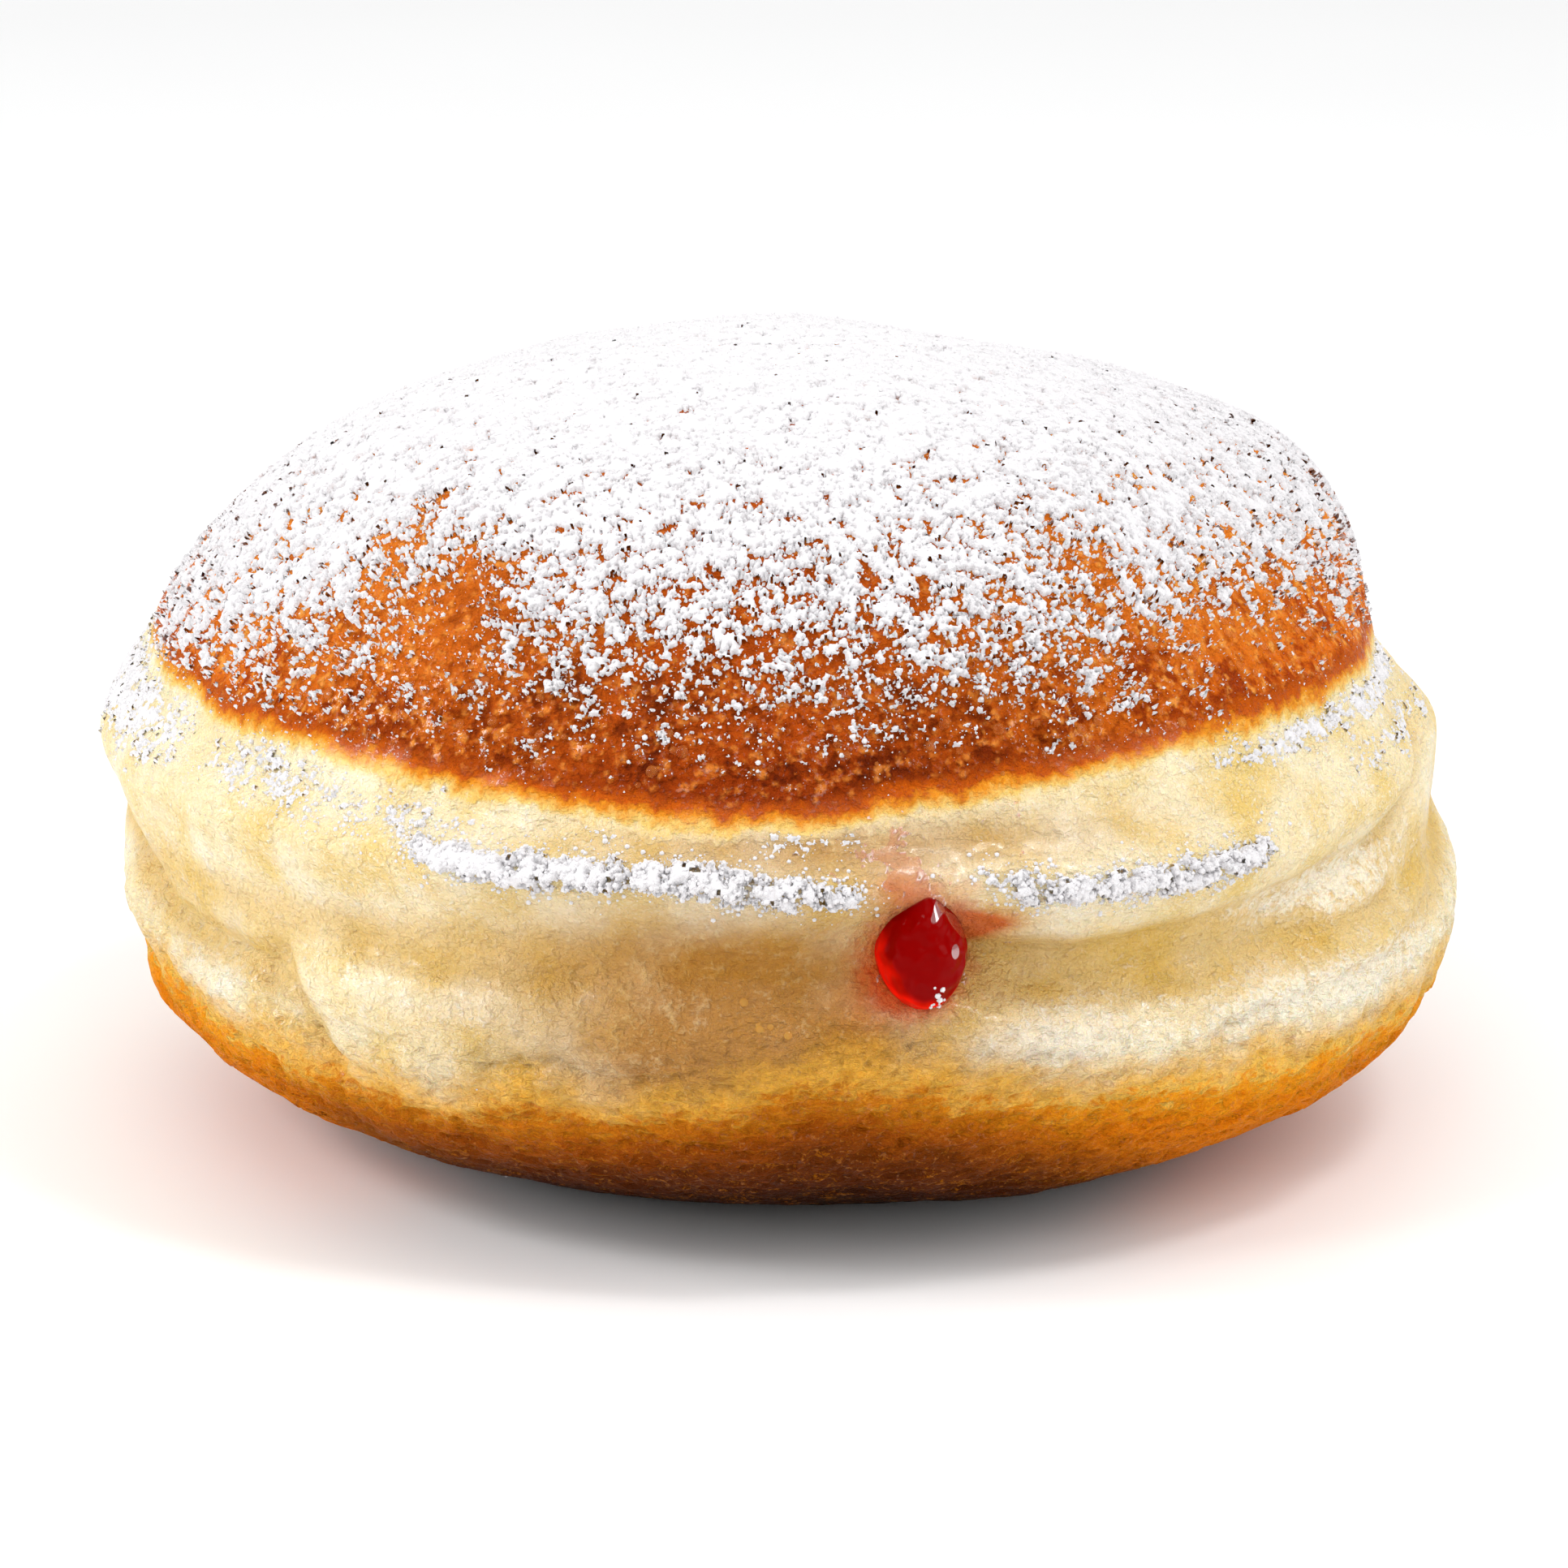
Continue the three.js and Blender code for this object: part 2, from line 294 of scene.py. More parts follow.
class DoughSettings(bpy.types.PropertyGroup):
    """Shape and colours of the dough."""

    fineness: IntProperty(
        name="Fineness", description="Squares along a side of the skin's mesh", default=126, min=20, max=128
    )
    crown_step: size_setting("Crown step", "How far the crown sits in from the band", 1.9)
    pucker_depth: size_setting("Pucker", "How far the skin is drawn in round the hole", 1.3)
    crust: colour_setting("Crust", "Upper crust", 186, 78, 10)
    dark_crust: colour_setting("Dark crust", "Crust low on the crown", 136, 44, 1)
    band: colour_setting("Band", "Pale dough round the middle", 247, 231, 192)
    foot: colour_setting("Foot", "Crust under the band", 104, 46, 6)


class JellySettings(bpy.types.PropertyGroup):
    """Colours and gloss of the jelly."""

    deep: colour_setting("Deep", "Where the jelly is thick", 132, 0, 0)
    thin: colour_setting("Thin", "Where light comes through", 240, 20, 4)
    gloss: FloatProperty(name="Roughness", description="Roughness of the jelly", default=0.06, min=0, max=1)


class SugarSettings(bpy.types.PropertyGroup):
    """Sizes and colour of the powdered sugar."""

    white: colour_setting("White", "Powdered sugar", 238, 236, 238)
    clump: size_setting("Clump", "Size of one clump in the coat", 1.0)
    thickness: size_setting("Thickness", "Least height of the coat", 0.06)
    heap: size_setting("Heap", "Height of the drift", 0.35)
    fineness: IntProperty(name="Fineness", description="Squares along a side of the mesh", default=440)
    seed: IntProperty(name="Seed", description="Draw of the scattered sugar", default=5)


class StageSettings(bpy.types.PropertyGroup):
    """Floor, light and camera."""

    floor: colour_setting("Floor", "Floor colour", 251, 251, 251)
    daylight: FloatProperty(name="Daylight", description="Light from all round", default=0.58, min=0)
    camera_distance: FloatProperty(
        name="Camera distance", description="From the camera to the doughnut", default=0.45, unit="LENGTH"
    )


# The round as a function of direction


def bell(x, reach):
    return np.exp(-((x / reach) ** 2))


def rise(x, width):
    return 1 / (1 + np.exp(-x / width))


def wrap(heading):
    return (heading + 180) % 360 - 180


def window(heading, start, end, soft):
    return rise(wrap(heading - start), soft) * rise(wrap(end - heading), soft)


def angles_of(toward):
    """Heading and latitude of unit directions."""
    heading = np.degrees(np.arctan2(toward[:, 0], -toward[:, 1]))
    latitude = np.degrees(np.arcsin(np.clip(toward[:, 2], -1, 1)))
    return heading, latitude


def direction(heading, latitude):
    h, l = np.radians(heading), np.radians(latitude)
    return np.stack([np.sin(h) * np.cos(l), -np.cos(h) * np.cos(l), np.sin(l) + 0 * h], axis=-1)


def plain_reach(latitude):
    """Distance from the heart to the plain round, by a smooth curve through the outline."""
    radius, height = np.array(OUTLINE, float).T
    up = height - HEART_HEIGHT
    knots = np.degrees(np.arctan2(up, radius))
    reach = np.hypot(radius, up)
    slope = np.zeros(len(knots))
    slope[1:-1] = (reach[2:] - reach[:-2]) / (knots[2:] - knots[:-2])
    i = np.clip(np.searchsorted(knots, latitude) - 1, 0, len(knots) - 2)
    span = knots[i + 1] - knots[i]
    t = (latitude - knots[i]) / span
    return (
        (1 + 2 * t) * (1 - t) ** 2 * reach[i]
        + t * (1 - t) ** 2 * span * slope[i]
        + t * t * (3 - 2 * t) * reach[i + 1]
        + t * t * (t - 1) * span * slope[i + 1]
    )


def crown_edge(heading):
    return (
        13.6
        - 2.2 * bell(wrap(heading), 40)
        + 1.6 * bell(wrap(heading - 70), 30)
        + 0.4 * np.sin(np.radians(3 * heading + 30))
    )


def crust_edge(heading):
    """Latitude where the crust's colour ends, a little above the crown's own edge."""
    return (
        crown_edge(heading)
        + 0.6
        + 0.9 * bell(wrap(heading - 34), 14)
        + 0.4 * bell(wrap(heading + 32), 18)
        - 0.7 * bell(wrap(heading + 1), 12)
    )


def ledge_line(heading):
    return 5 + 1.2 * bell(wrap(heading + 15), 45) - 1.2 * bell(wrap(heading - 35), 25)


def waist_line(heading):
    return ledge_line(heading) - 7.6


def foot_line(heading):
    """Latitude where the pale band turns to the brown foot."""
    return (
        -14.2
        + 2.2 * bell(wrap(heading - 4), 13)
        + 1.2 * bell(wrap(heading - 70), 22)
        + 0.8 * bell(wrap(heading + 20), 6)
        + 1.2 * np.sin(np.radians(4 * heading + 20))
    )


def rolls(heading, latitude, crown_step):
    front = bell(wrap(heading), 70)
    edge = crown_edge(heading)
    crown = rise(latitude - edge, 1.6) * (1 - rise(latitude - 32, 5))
    groove = bell(latitude - edge + 2.5, 2.6)
    ledge = LEDGE_HEIGHT[0] + LEDGE_HEIGHT[1] * front
    waist = WAIST_DEPTH[0] + WAIST_DEPTH[1] * front
    return (
        -crown_step * crown
        - 0.8 * groove
        + ledge * bell(latitude - ledge_line(heading), 2.4)
        - waist * bell(latitude - waist_line(heading), 3.8)
    )


def swells(heading, latitude):
    return sum(
        height * bell(wrap(heading - h), reach_h) * bell(latitude - l, reach_l)
        for h, l, reach_h, reach_l, height in SWELLS.values()
    )


def distance_to_run(heading, latitude, start, end):
    """Distance in degrees to the straight run between two headings and latitudes."""
    run = np.subtract(end, start)
    here = np.stack([wrap(heading - start[0]), latitude - start[1]])
    share = np.clip((run[0] * here[0] + run[1] * here[1]) / (run @ run), 0, 1)
    return np.hypot(here[0] - share * run[0], here[1] - share * run[1])


def creases(heading, latitude):
    total = np.zeros(len(heading))
    for through, depth, width in (*CREASES.values(), *FINE_CREASES.values()):
        runs = [distance_to_run(heading, latitude, a, b) for a, b in zip(through, through[1:])]
        nearest = np.min(runs, axis=0)
        total -= depth * (bell(nearest, width) + CREASE_BOTTOM * bell(nearest, width / 2.4))
    return total


def ridges(heading, latitude):
    """Rolls of dough that end upwards in an edge."""
    total = np.zeros(len(heading))
    for edge, height, reach in RIDGES:
        headings, latitudes = zip(*edge)
        below = np.interp(heading, headings, latitudes) - latitude
        body = rise(below, 0.3) * bell(np.maximum(below, 0), reach) - 0.3 * bell(below + 0.9, 0.9)
        total += height * body * window(heading, headings[0] + 2, headings[-1] - 2, 1.2)
    return total


def blisters(heading, latitude):
    """Height of the domes where steam lifted the crust."""
    total = np.zeros(len(heading))
    for h, l, radius in BLISTERS:
        across = np.hypot(wrap(heading - h) * math.cos(math.radians(l)), latitude - l)
        away = np.radians(across) * 44 / radius
        total = np.maximum(total, 0.6 * radius * np.sqrt(np.clip(1 - away**2, 0, 1)))
    return total


def lumps(point, size):
    """Smooth unevenness about 1 high: waves of about one size that run in many directions."""
    waves = 9
    golden_turn = math.pi * (3 - math.sqrt(5))
    total = np.zeros(len(point))
    for i in range(waves):
        up = 1 - (2 * i + 1) / waves
        level = math.sqrt(1 - up * up)
        turn = i * golden_turn
        along = level * (point[:, 0] * math.cos(turn) + point[:, 1] * math.sin(turn)) + point[:, 2] * up
        total += np.sin(2 * math.pi * along / (size * (1 + 0.1 * i)) + i * i)
    return total / math.sqrt(waves)


def angle_from_hole(toward):
    return np.degrees(np.arccos(np.clip(toward @ direction(*HOLE), -1, 1)))


def skin(toward, dough):
    """Points of the dough's skin in the given unit directions from the heart."""
    heading, latitude = angles_of(toward)
    plain = plain_reach(latitude)
    place = toward * plain[:, None]
    on_band = rise(crown_edge(heading) - latitude, 2) * rise(latitude + 30, 5)
    reach = (
        plain
        + rolls(heading, latitude, dough.crown_step)
        + swells(heading, latitude)
        + creases(heading, latitude)
        + ridges(heading, latitude)
        - dough.pucker_depth * bell(angle_from_hole(toward), PUCKER_REACH)
        + 0.14 * lumps(place, 11)
        + on_band * 0.2 * lumps(place, 6.5)
        + blisters(heading, latitude)
    )
    point = toward * reach[:, None]
    point[:, 2] += HEART_HEIGHT
    return point


def patches(heading, latitude, places):
    """Sum of soft patches, each a heading, a latitude, its reach in each and an amount."""
    return sum(
        amount * bell(wrap(heading - h), reach_h) * bell(latitude - l, reach_l)
        for h, l, reach_h, reach_l, amount in places
    )


def cover(heading, latitude):
    """How thickly sugar lies at a place, before the noise that breaks it up into clumps."""
    lower_at_left = 7 * bell(wrap(heading + 74), 22)
    latitudes, amounts = zip(*SUGAR_BY_LATITUDE)
    crown = np.interp(latitude + lower_at_left, latitudes, amounts)
    on_band = rise(crown_edge(heading) - latitude, 0.8)
    loose = DRIFT_AMOUNT * drift(heading, latitude)
    for start, end, middle, reach, amount in DUST:
        dust = amount * window(heading, start, end, DUST_SOFTNESS) * bell(latitude - middle, reach)
        loose = np.maximum(loose, dust)
    on_crown = (1 - on_band) * (crown - patches(heading, latitude, BARE) + 0.25 * loose)
    return on_crown + on_band * (loose - BARE_BAND)


def drift(heading, latitude):
    """The heap of sugar along the ledge: 1 at its middle."""
    stretches = (
        0.82 * window(heading, -46, -33, 3)
        + window(heading, -31, 8.8, 1.4)
        + window(heading, 15.2, 47, 1.6)
        + 0.9 * window(heading, 105, 160, 4)
        + 0.9 * window(heading, -165, -112, 4)
    )
    headings, latitudes = zip(*DRIFT_LINE)
    return stretches * bell(latitude - np.interp(heading, headings, latitudes), 2.4)


# Meshes


def sphere_grid(squares, lean):
    """Unit directions and squares of a cube's faces blown up to a sphere, closer set along lean."""
    steps = np.tan(np.linspace(-math.pi / 4, math.pi / 4, squares + 1))
    u, v = np.meshgrid(steps, steps, indexing="ij")
    flat = np.stack([u.ravel(), v.ravel(), np.ones(u.size)], axis=1)
    corner = np.arange(squares * (squares + 1)).reshape(squares, squares + 1)[:, :-1].ravel()
    quads = np.stack([corner, corner + squares + 1, corner + squares + 2, corner + 1], axis=1)
    turns = (
        ((1, 0, 0), (0, 1, 0), (0, 0, 1)),
        ((0, 1, 0), (0, 0, 1), (1, 0, 0)),
        ((0, 0, 1), (1, 0, 0), (0, 1, 0)),
        ((0, 1, 0), (1, 0, 0), (0, 0, -1)),
        ((0, 0, 1), (0, 1, 0), (-1, 0, 0)),
        ((1, 0, 0), (0, 0, 1), (0, -1, 0)),
    )
    points = np.concatenate([flat @ np.array(turn, float) for turn in turns])
    faces = np.concatenate([quads + side * len(flat) for side in range(len(turns))])
    points /= np.linalg.norm(points, axis=1)[:, None]
    _, first, same = np.unique(np.round(points, 7), axis=0, return_index=True, return_inverse=True)
    points = points[first] + np.array(lean)
    points /= np.linalg.norm(points, axis=1)[:, None]
    return points, same.ravel()[faces]


def mesh_of(name, points, faces, shift):
    """A smooth shaded mesh in metres from points in millimetres."""
    mesh = bpy.data.meshes.new(name)
    mesh.vertices.add(len(points))
    mesh.vertices.foreach_set("co", ((points + shift) * MM).astype(np.float32).ravel())
    corners = faces.shape[1]
    mesh.loops.add(faces.size)
    mesh.loops.foreach_set("vertex_index", faces.ravel().astype(np.int32))
    mesh.polygons.add(len(faces))
    mesh.polygons.foreach_set("loop_start", np.arange(0, faces.size, corners, dtype=np.int32))
    mesh.update(calc_edges=True)
    mesh.validate()
    mesh.shade_smooth()
    return mesh


def placed(name, mesh):
    piece = bpy.data.objects.new(name, mesh)
    bpy.context.scene.collection.objects.link(piece)
    return piece


def points_of(mesh):
    flat = np.empty(len(mesh.vertices) * 3, np.float32)
    mesh.vertices.foreach_get("co", flat)
    return flat.reshape(-1, 3).astype(float)


def store(mesh, name, values):
    """Writes a value on each point under a name."""
    found = mesh.attributes.get(name) or mesh.attributes.new(name, "FLOAT", "POINT")
    found.data.foreach_set("value", values.astype(np.float32))


def write_fields(mesh, shift):
    """Writes on each point where it lies on the round, for the relief and the finishes."""
    toward = points_of(mesh) / MM - shift
    toward[:, 2] -= HEART_HEIGHT
    toward /= np.linalg.norm(toward, axis=1)[:, None]
    heading, latitude = angles_of(toward)
    above_edge = latitude - crown_edge(heading)
    fields = {
        "crown": latitude - crust_edge(heading),
        "foot": foot_line(heading) - latitude,
        "cover": cover(heading, latitude),
        "heap": drift(heading, latitude),
        # fold: the depth of the creases plus the waist, where the band's colour is darkened as painted
        # shade
        "fold": -creases(heading, latitude) + 1.2 * bell(latitude - waist_line(heading), 3),
        # amber: painted shade in the middle of the band's front, under the drift and under the crown's
        # overhang, tinted warm yellow-brown
        "amber": bell(wrap(heading + 3), 19) * rise(latitude + 17, 1.5) * rise(3 - latitude, 1.6)
        + 0.25 * bell(wrap(heading - 2), 13) * bell(latitude + 9.5, 3)
        + 0.7 * bell(wrap(heading - 7), 22) * bell(latitude - 8.6, 2.4),
        "pale": patches(heading, latitude, PALE),
        "stain": patches(heading, latitude, STAIN),
        # deep: where the foot takes its darker middle ramp
        "deep": window(heading, -47, 27 - 1.3 * (latitude + 18), 4),
        # front: where the crust and its blisters take their darker front colours, partly painted shade
        # where the crown faces forward and down
        "front": bell(wrap(heading + 3), 42),
        "hole": angle_from_hole(toward),
        "around": heading / 180,
        "bubbles": bell(above_edge - 5, 4.5) * rise(above_edge - 2, 0.4)
        + 1.6 * bell(wrap(heading + 0.6), 2.4) * bell(latitude + 5, 1.8),
    }
    for name, values in fields.items():
        store(mesh, name, values)


def joined(name, pieces):
    """One mesh that holds copies of the meshes of some pieces."""
    build = bmesh.new()
    for piece in pieces:
        build.from_mesh(piece.data)
    mesh = bpy.data.meshes.new(name)
    build.to_mesh(mesh)
    build.free()
    return mesh


def take_modifiers(piece):
    """Turns a piece and its modifiers into a plain mesh."""
    graph = bpy.context.evaluated_depsgraph_get()
    graph.update()
    mesh = bpy.data.meshes.new_from_object(piece.evaluated_get(graph), depsgraph=graph)
    piece.modifiers.clear()
    before = piece.data
    piece.data = mesh
    bpy.data.meshes.remove(before)
    mesh.name = piece.name
    return piece


# Node trees written as arithmetic


class Value:
    """One socket of a node tree. Arithmetic on it adds Math nodes."""

    def __init__(self, tree, socket):
        self.tree = tree
        self.socket = socket

    def math(self, operation, *others):
        return self.tree.node("ShaderNodeMath", {"operation": operation}, dict(enumerate((self, *others))))

    def __add__(self, other):
        return self.math("ADD", other)

    def __sub__(self, other):
        return self.math("SUBTRACT", other)

    def __mul__(self, other):
        return self.math("MULTIPLY", other)

    def __truediv__(self, other):
        return self.math("DIVIDE", other)

    def __rsub__(self, other):
        return self * -1 + other

    def __pow__(self, other):
        return self.math("POWER", other)

    def __rtruediv__(self, other):
        return self.tree.node("ShaderNodeMath", {"operation": "DIVIDE"}, {0: other, 1: self})

    __radd__ = __add__
    __rmul__ = __mul__

    def least(self, other):
        return self.math("MINIMUM", other)

    def most(self, other):
        return self.math("MAXIMUM", other)

    def step(self, low, high):
        """0 below low, 1 above high, and smooth between."""
        inputs = {"Value": self, "From Min": low, "From Max": high}
        settings = {"interpolation_type": "SMOOTHSTEP"}
        return self.tree.node("ShaderNodeMapRange", settings, inputs)


class Tree:
    """A node tree that is written with calls."""

    def __init__(self, tree):
        self.tree = tree

    def node(self, kind, settings=None, inputs=None, output=0):
        node = self.tree.nodes.new(kind)
        for name, value in (settings or {}).items():
            if name == "stops":
                self.set_stops(node.color_ramp, value)
            else:
                setattr(node, name, value)
        for key, value in (inputs or {}).items():
            self.feed(node.inputs[key], value)
        return Value(self, node.outputs[output]) if node.outputs else None

    def feed(self, socket, value):
        if isinstance(value, Value):
            self.tree.links.new(value.socket, socket)
        elif socket.type == "RGBA" and len(value) == 3:
            socket.default_value = (*value, 1)
        else:
            socket.default_value = value

    def set_stops(self, ramp, stops):
        while len(ramp.elements) > 1:
            ramp.elements.remove(ramp.elements[-1])
        ramp.elements[0].position = stops[0][0]
        ramp.elements[0].color = (*stops[0][1], 1)
        for position, colour in stops[1:]:
            ramp.elements.new(position).color = (*colour, 1)

    def noise(self, place, size, detail=2.0, roughness=0.5, distortion=0.0):
        """Cloudy noise about 0, from -1 to 1, whose patches are about size mm wide."""
        inputs = {
            "Vector": place,
            "Scale": 1 / (size * MM),
            "Detail": detail,
            "Roughness": roughness,
            "Distortion": distortion,
        }
        return self.node("ShaderNodeTexNoise", None, inputs) * 2 - 1

    def cells(self, place, size, feature="F1", smoothness=0.3):
        """Distance to the nearest of scattered points about size mm apart, in units of size."""
        inputs = {"Vector": place, "Scale": 1 / (size * MM)}
        if feature == "SMOOTH_F1":
            inputs["Smoothness"] = smoothness
        return self.node("ShaderNodeTexVoronoi", {"feature": feature}, inputs)

    def blend(self, share, low, high):
        """A colour between two, by share."""
        settings = {"data_type": "RGBA"}
        return self.node("ShaderNodeMix", settings, {0: share, 6: low, 7: high}, output=2)

    def ramp(self, share, *stops):
        """A colour that runs through stops, each a share from 0 to 1 and its colour."""
        return self.node("ShaderNodeValToRGB", {"stops": stops}, {"Fac": share})

    def scaled(self, place, factors):
        settings = {"operation": "MULTIPLY"}
        return self.node("ShaderNodeVectorMath", settings, {0: place, 1: factors})


class Finish(Tree):
    """A material's node tree."""

    def __init__(self, name):
        self.material = bpy.data.materials.new(name)
        self.material.use_nodes = True
        super().__init__(self.material.node_tree)
        self.tree.nodes.clear()
        self.place = self.node("ShaderNodeTexCoord", None, None, output="Object")

    def field(self, name):
        return self.node("ShaderNodeAttribute", {"attribute_name": name}, None, output="Fac")

    def bump(self, height, depth):
        """A normal from a height of about 0 to 1 that stands depth mm high."""
        return self.node("ShaderNodeBump", None, {"Height": height, "Distance": depth * MM})

    def finish(self, inputs):
        shader = self.node("ShaderNodeBsdfPrincipled", None, inputs)
        self.node("ShaderNodeOutputMaterial", None, {"Surface": shader})
        return self.material


class Shaper(Tree):
    """A geometry node group with named inputs."""

    def __init__(self, name, sizes):
        self.group = bpy.data.node_groups.new(name, "GeometryNodeTree")
        super().__init__(self.group)
        interface = self.group.interface
        interface.new_socket("Geometry", in_out="INPUT", socket_type="NodeSocketGeometry")
        interface.new_socket("Geometry", in_out="OUTPUT", socket_type="NodeSocketGeometry")
        self.identifiers = {}
        for label, value in sizes.items():
            kind = "NodeSocketInt" if isinstance(value, int) else "NodeSocketFloat"
            socket = interface.new_socket(label, in_out="INPUT", socket_type=kind)
            socket.default_value = value
            self.identifiers[label] = socket.identifier
        self.start = self.group.nodes.new("NodeGroupInput")
        self.end = self.group.nodes.new("NodeGroupOutput")
        self.place = self.node("GeometryNodeInputPosition")
        self.normal = self.node("GeometryNodeInputNormal")

    def size(self, label):
        return Value(self, self.start.outputs[label])

    def field(self, name):
        return self.node("GeometryNodeInputNamedAttribute", {"data_type": "FLOAT"}, {"Name": name})

    def push(self, geometry, height):
        """Moves points outwards by a height in mm."""
        settings = {"operation": "SCALE"}
        offset = self.node("ShaderNodeVectorMath", settings, {0: self.normal, "Scale": height * MM})
        return self.node("GeometryNodeSetPosition", None, {"Geometry": geometry, "Offset": offset})

    def keep(self, geometry, name, value):
        """Stores a value on the points under a name."""
        settings = {"data_type": "FLOAT", "domain": "POINT"}
        inputs = {"Geometry": geometry, "Name": name, "Value": value}
        return self.node("GeometryNodeStoreNamedAttribute", settings, inputs)

    def cut_away(self, geometry, bare):
        """Deletes the points that are bare."""
        inputs = {"Geometry": geometry, "Selection": bare}
        return self.node("GeometryNodeDeleteGeometry", {"domain": "POINT"}, inputs)

    def close(self, geometry, material):
        """Ends the tree with real geometry and its material."""
        real = self.node("GeometryNodeRealizeInstances", None, {"Geometry": geometry})
        dressed = self.node("GeometryNodeSetMaterial", None, {"Geometry": real, "Material": material})
        self.tree.links.new(dressed.socket, self.end.inputs[0])
        return self

    def apply(self, piece, sizes):
        """Runs the group on a piece and keeps the result as its mesh."""
        modifier = piece.modifiers.new(self.group.name, "NODES")
        modifier.node_group = self.group
        for label, value in sizes.items():
            modifier[self.identifiers[label]] = value
        return take_modifiers(piece)


# Finishes


def crust_colour(finish, dough, patch, mottle, pebble, pit):
    """Brown crust, orange at its sides and darker low at the front, partly its own browning and partly
    painted shade where the crown faces forward and down; pebble tops partly painted highlight, pits painted
    shade.
    """
    side = 1 - finish.field("front")
    height = (finish.field("crown") + 8 * patch + 7 * mottle).step(-1, 13)
    low = finish.blend(side, dough.dark_crust, linear(222, 106, 14))
    high = finish.blend(side, dough.crust, linear(234, 128, 34))
    whole = finish.blend(height, low, high)
    dark = (0.2 - 2.4 * patch - 2.4 * mottle).step(0, 1.2) * (1 - 0.7 * height)
    mottled = finish.blend(dark, whole, finish.blend(side, linear(92, 26, 1), linear(170, 62, 6)))
    pale = finish.blend(side, linear(232, 140, 54), linear(252, 172, 76))
    # Pebble tops lighter: partly their own paler tone, partly a painted highlight.
    pebbled = finish.blend((pebble + mottle).step(0.5, 1.1) * 0.7, mottled, pale)
    # Painted shade in the pits between the pebbles, less where the crown is higher.
    pit_shade = finish.blend(side, linear(96, 28, 1), linear(176, 70, 8))
    return finish.blend(pit * 0.75 * (1 - 0.6 * height), pebbled, pit_shade)


def band_colour(finish, dough, patch, mottle, grain):
    """Pale dough: cream and straw in fine grains, with painted highlights where the fine relief stands up,
    painted shade in the folds, and painted shade with a warm yellow-brown tint in the middle of the front.
    """
    straw = (1.4 * patch + 0.9 * mottle + 1.2 * grain + 0.1 + 0.3 * finish.field("around")).step(-0.6, 1)
    base = finish.blend(straw, dough.band, linear(232, 198, 112))
    middle = finish.field("amber")
    # Lighter where the mottle and grain stand up: partly the skin's own paler flecks, partly a painted
    # highlight on the relief that the same noises give the bump.
    lit = (mottle + 1.4 * grain - 0.6 * patch).step(-0.2, 0.8) * 0.8 * (1 - 0.8 * middle)
    pale = finish.blend(lit, base, linear(250, 242, 222))
    # Painted shade: darker and warmer in the creases and along the waist.
    fold = finish.blend(finish.field("fold").step(0.2, 1.6) * 0.6, pale, linear(210, 164, 60))
    paler = (finish.field("pale") * (1 + mottle + grain)).step(0.1, 0.9) * 0.8
    cream = finish.blend(paler, fold, linear(253, 245, 226))
    # Painted shade in the middle of the front, tinted warm yellow-brown.
    amber = middle * (1 + 0.25 * patch - 0.3 * (mottle + grain).step(-0.2, 0.7))
    return finish.blend(amber.least(0.9), cream, linear(170, 110, 22))


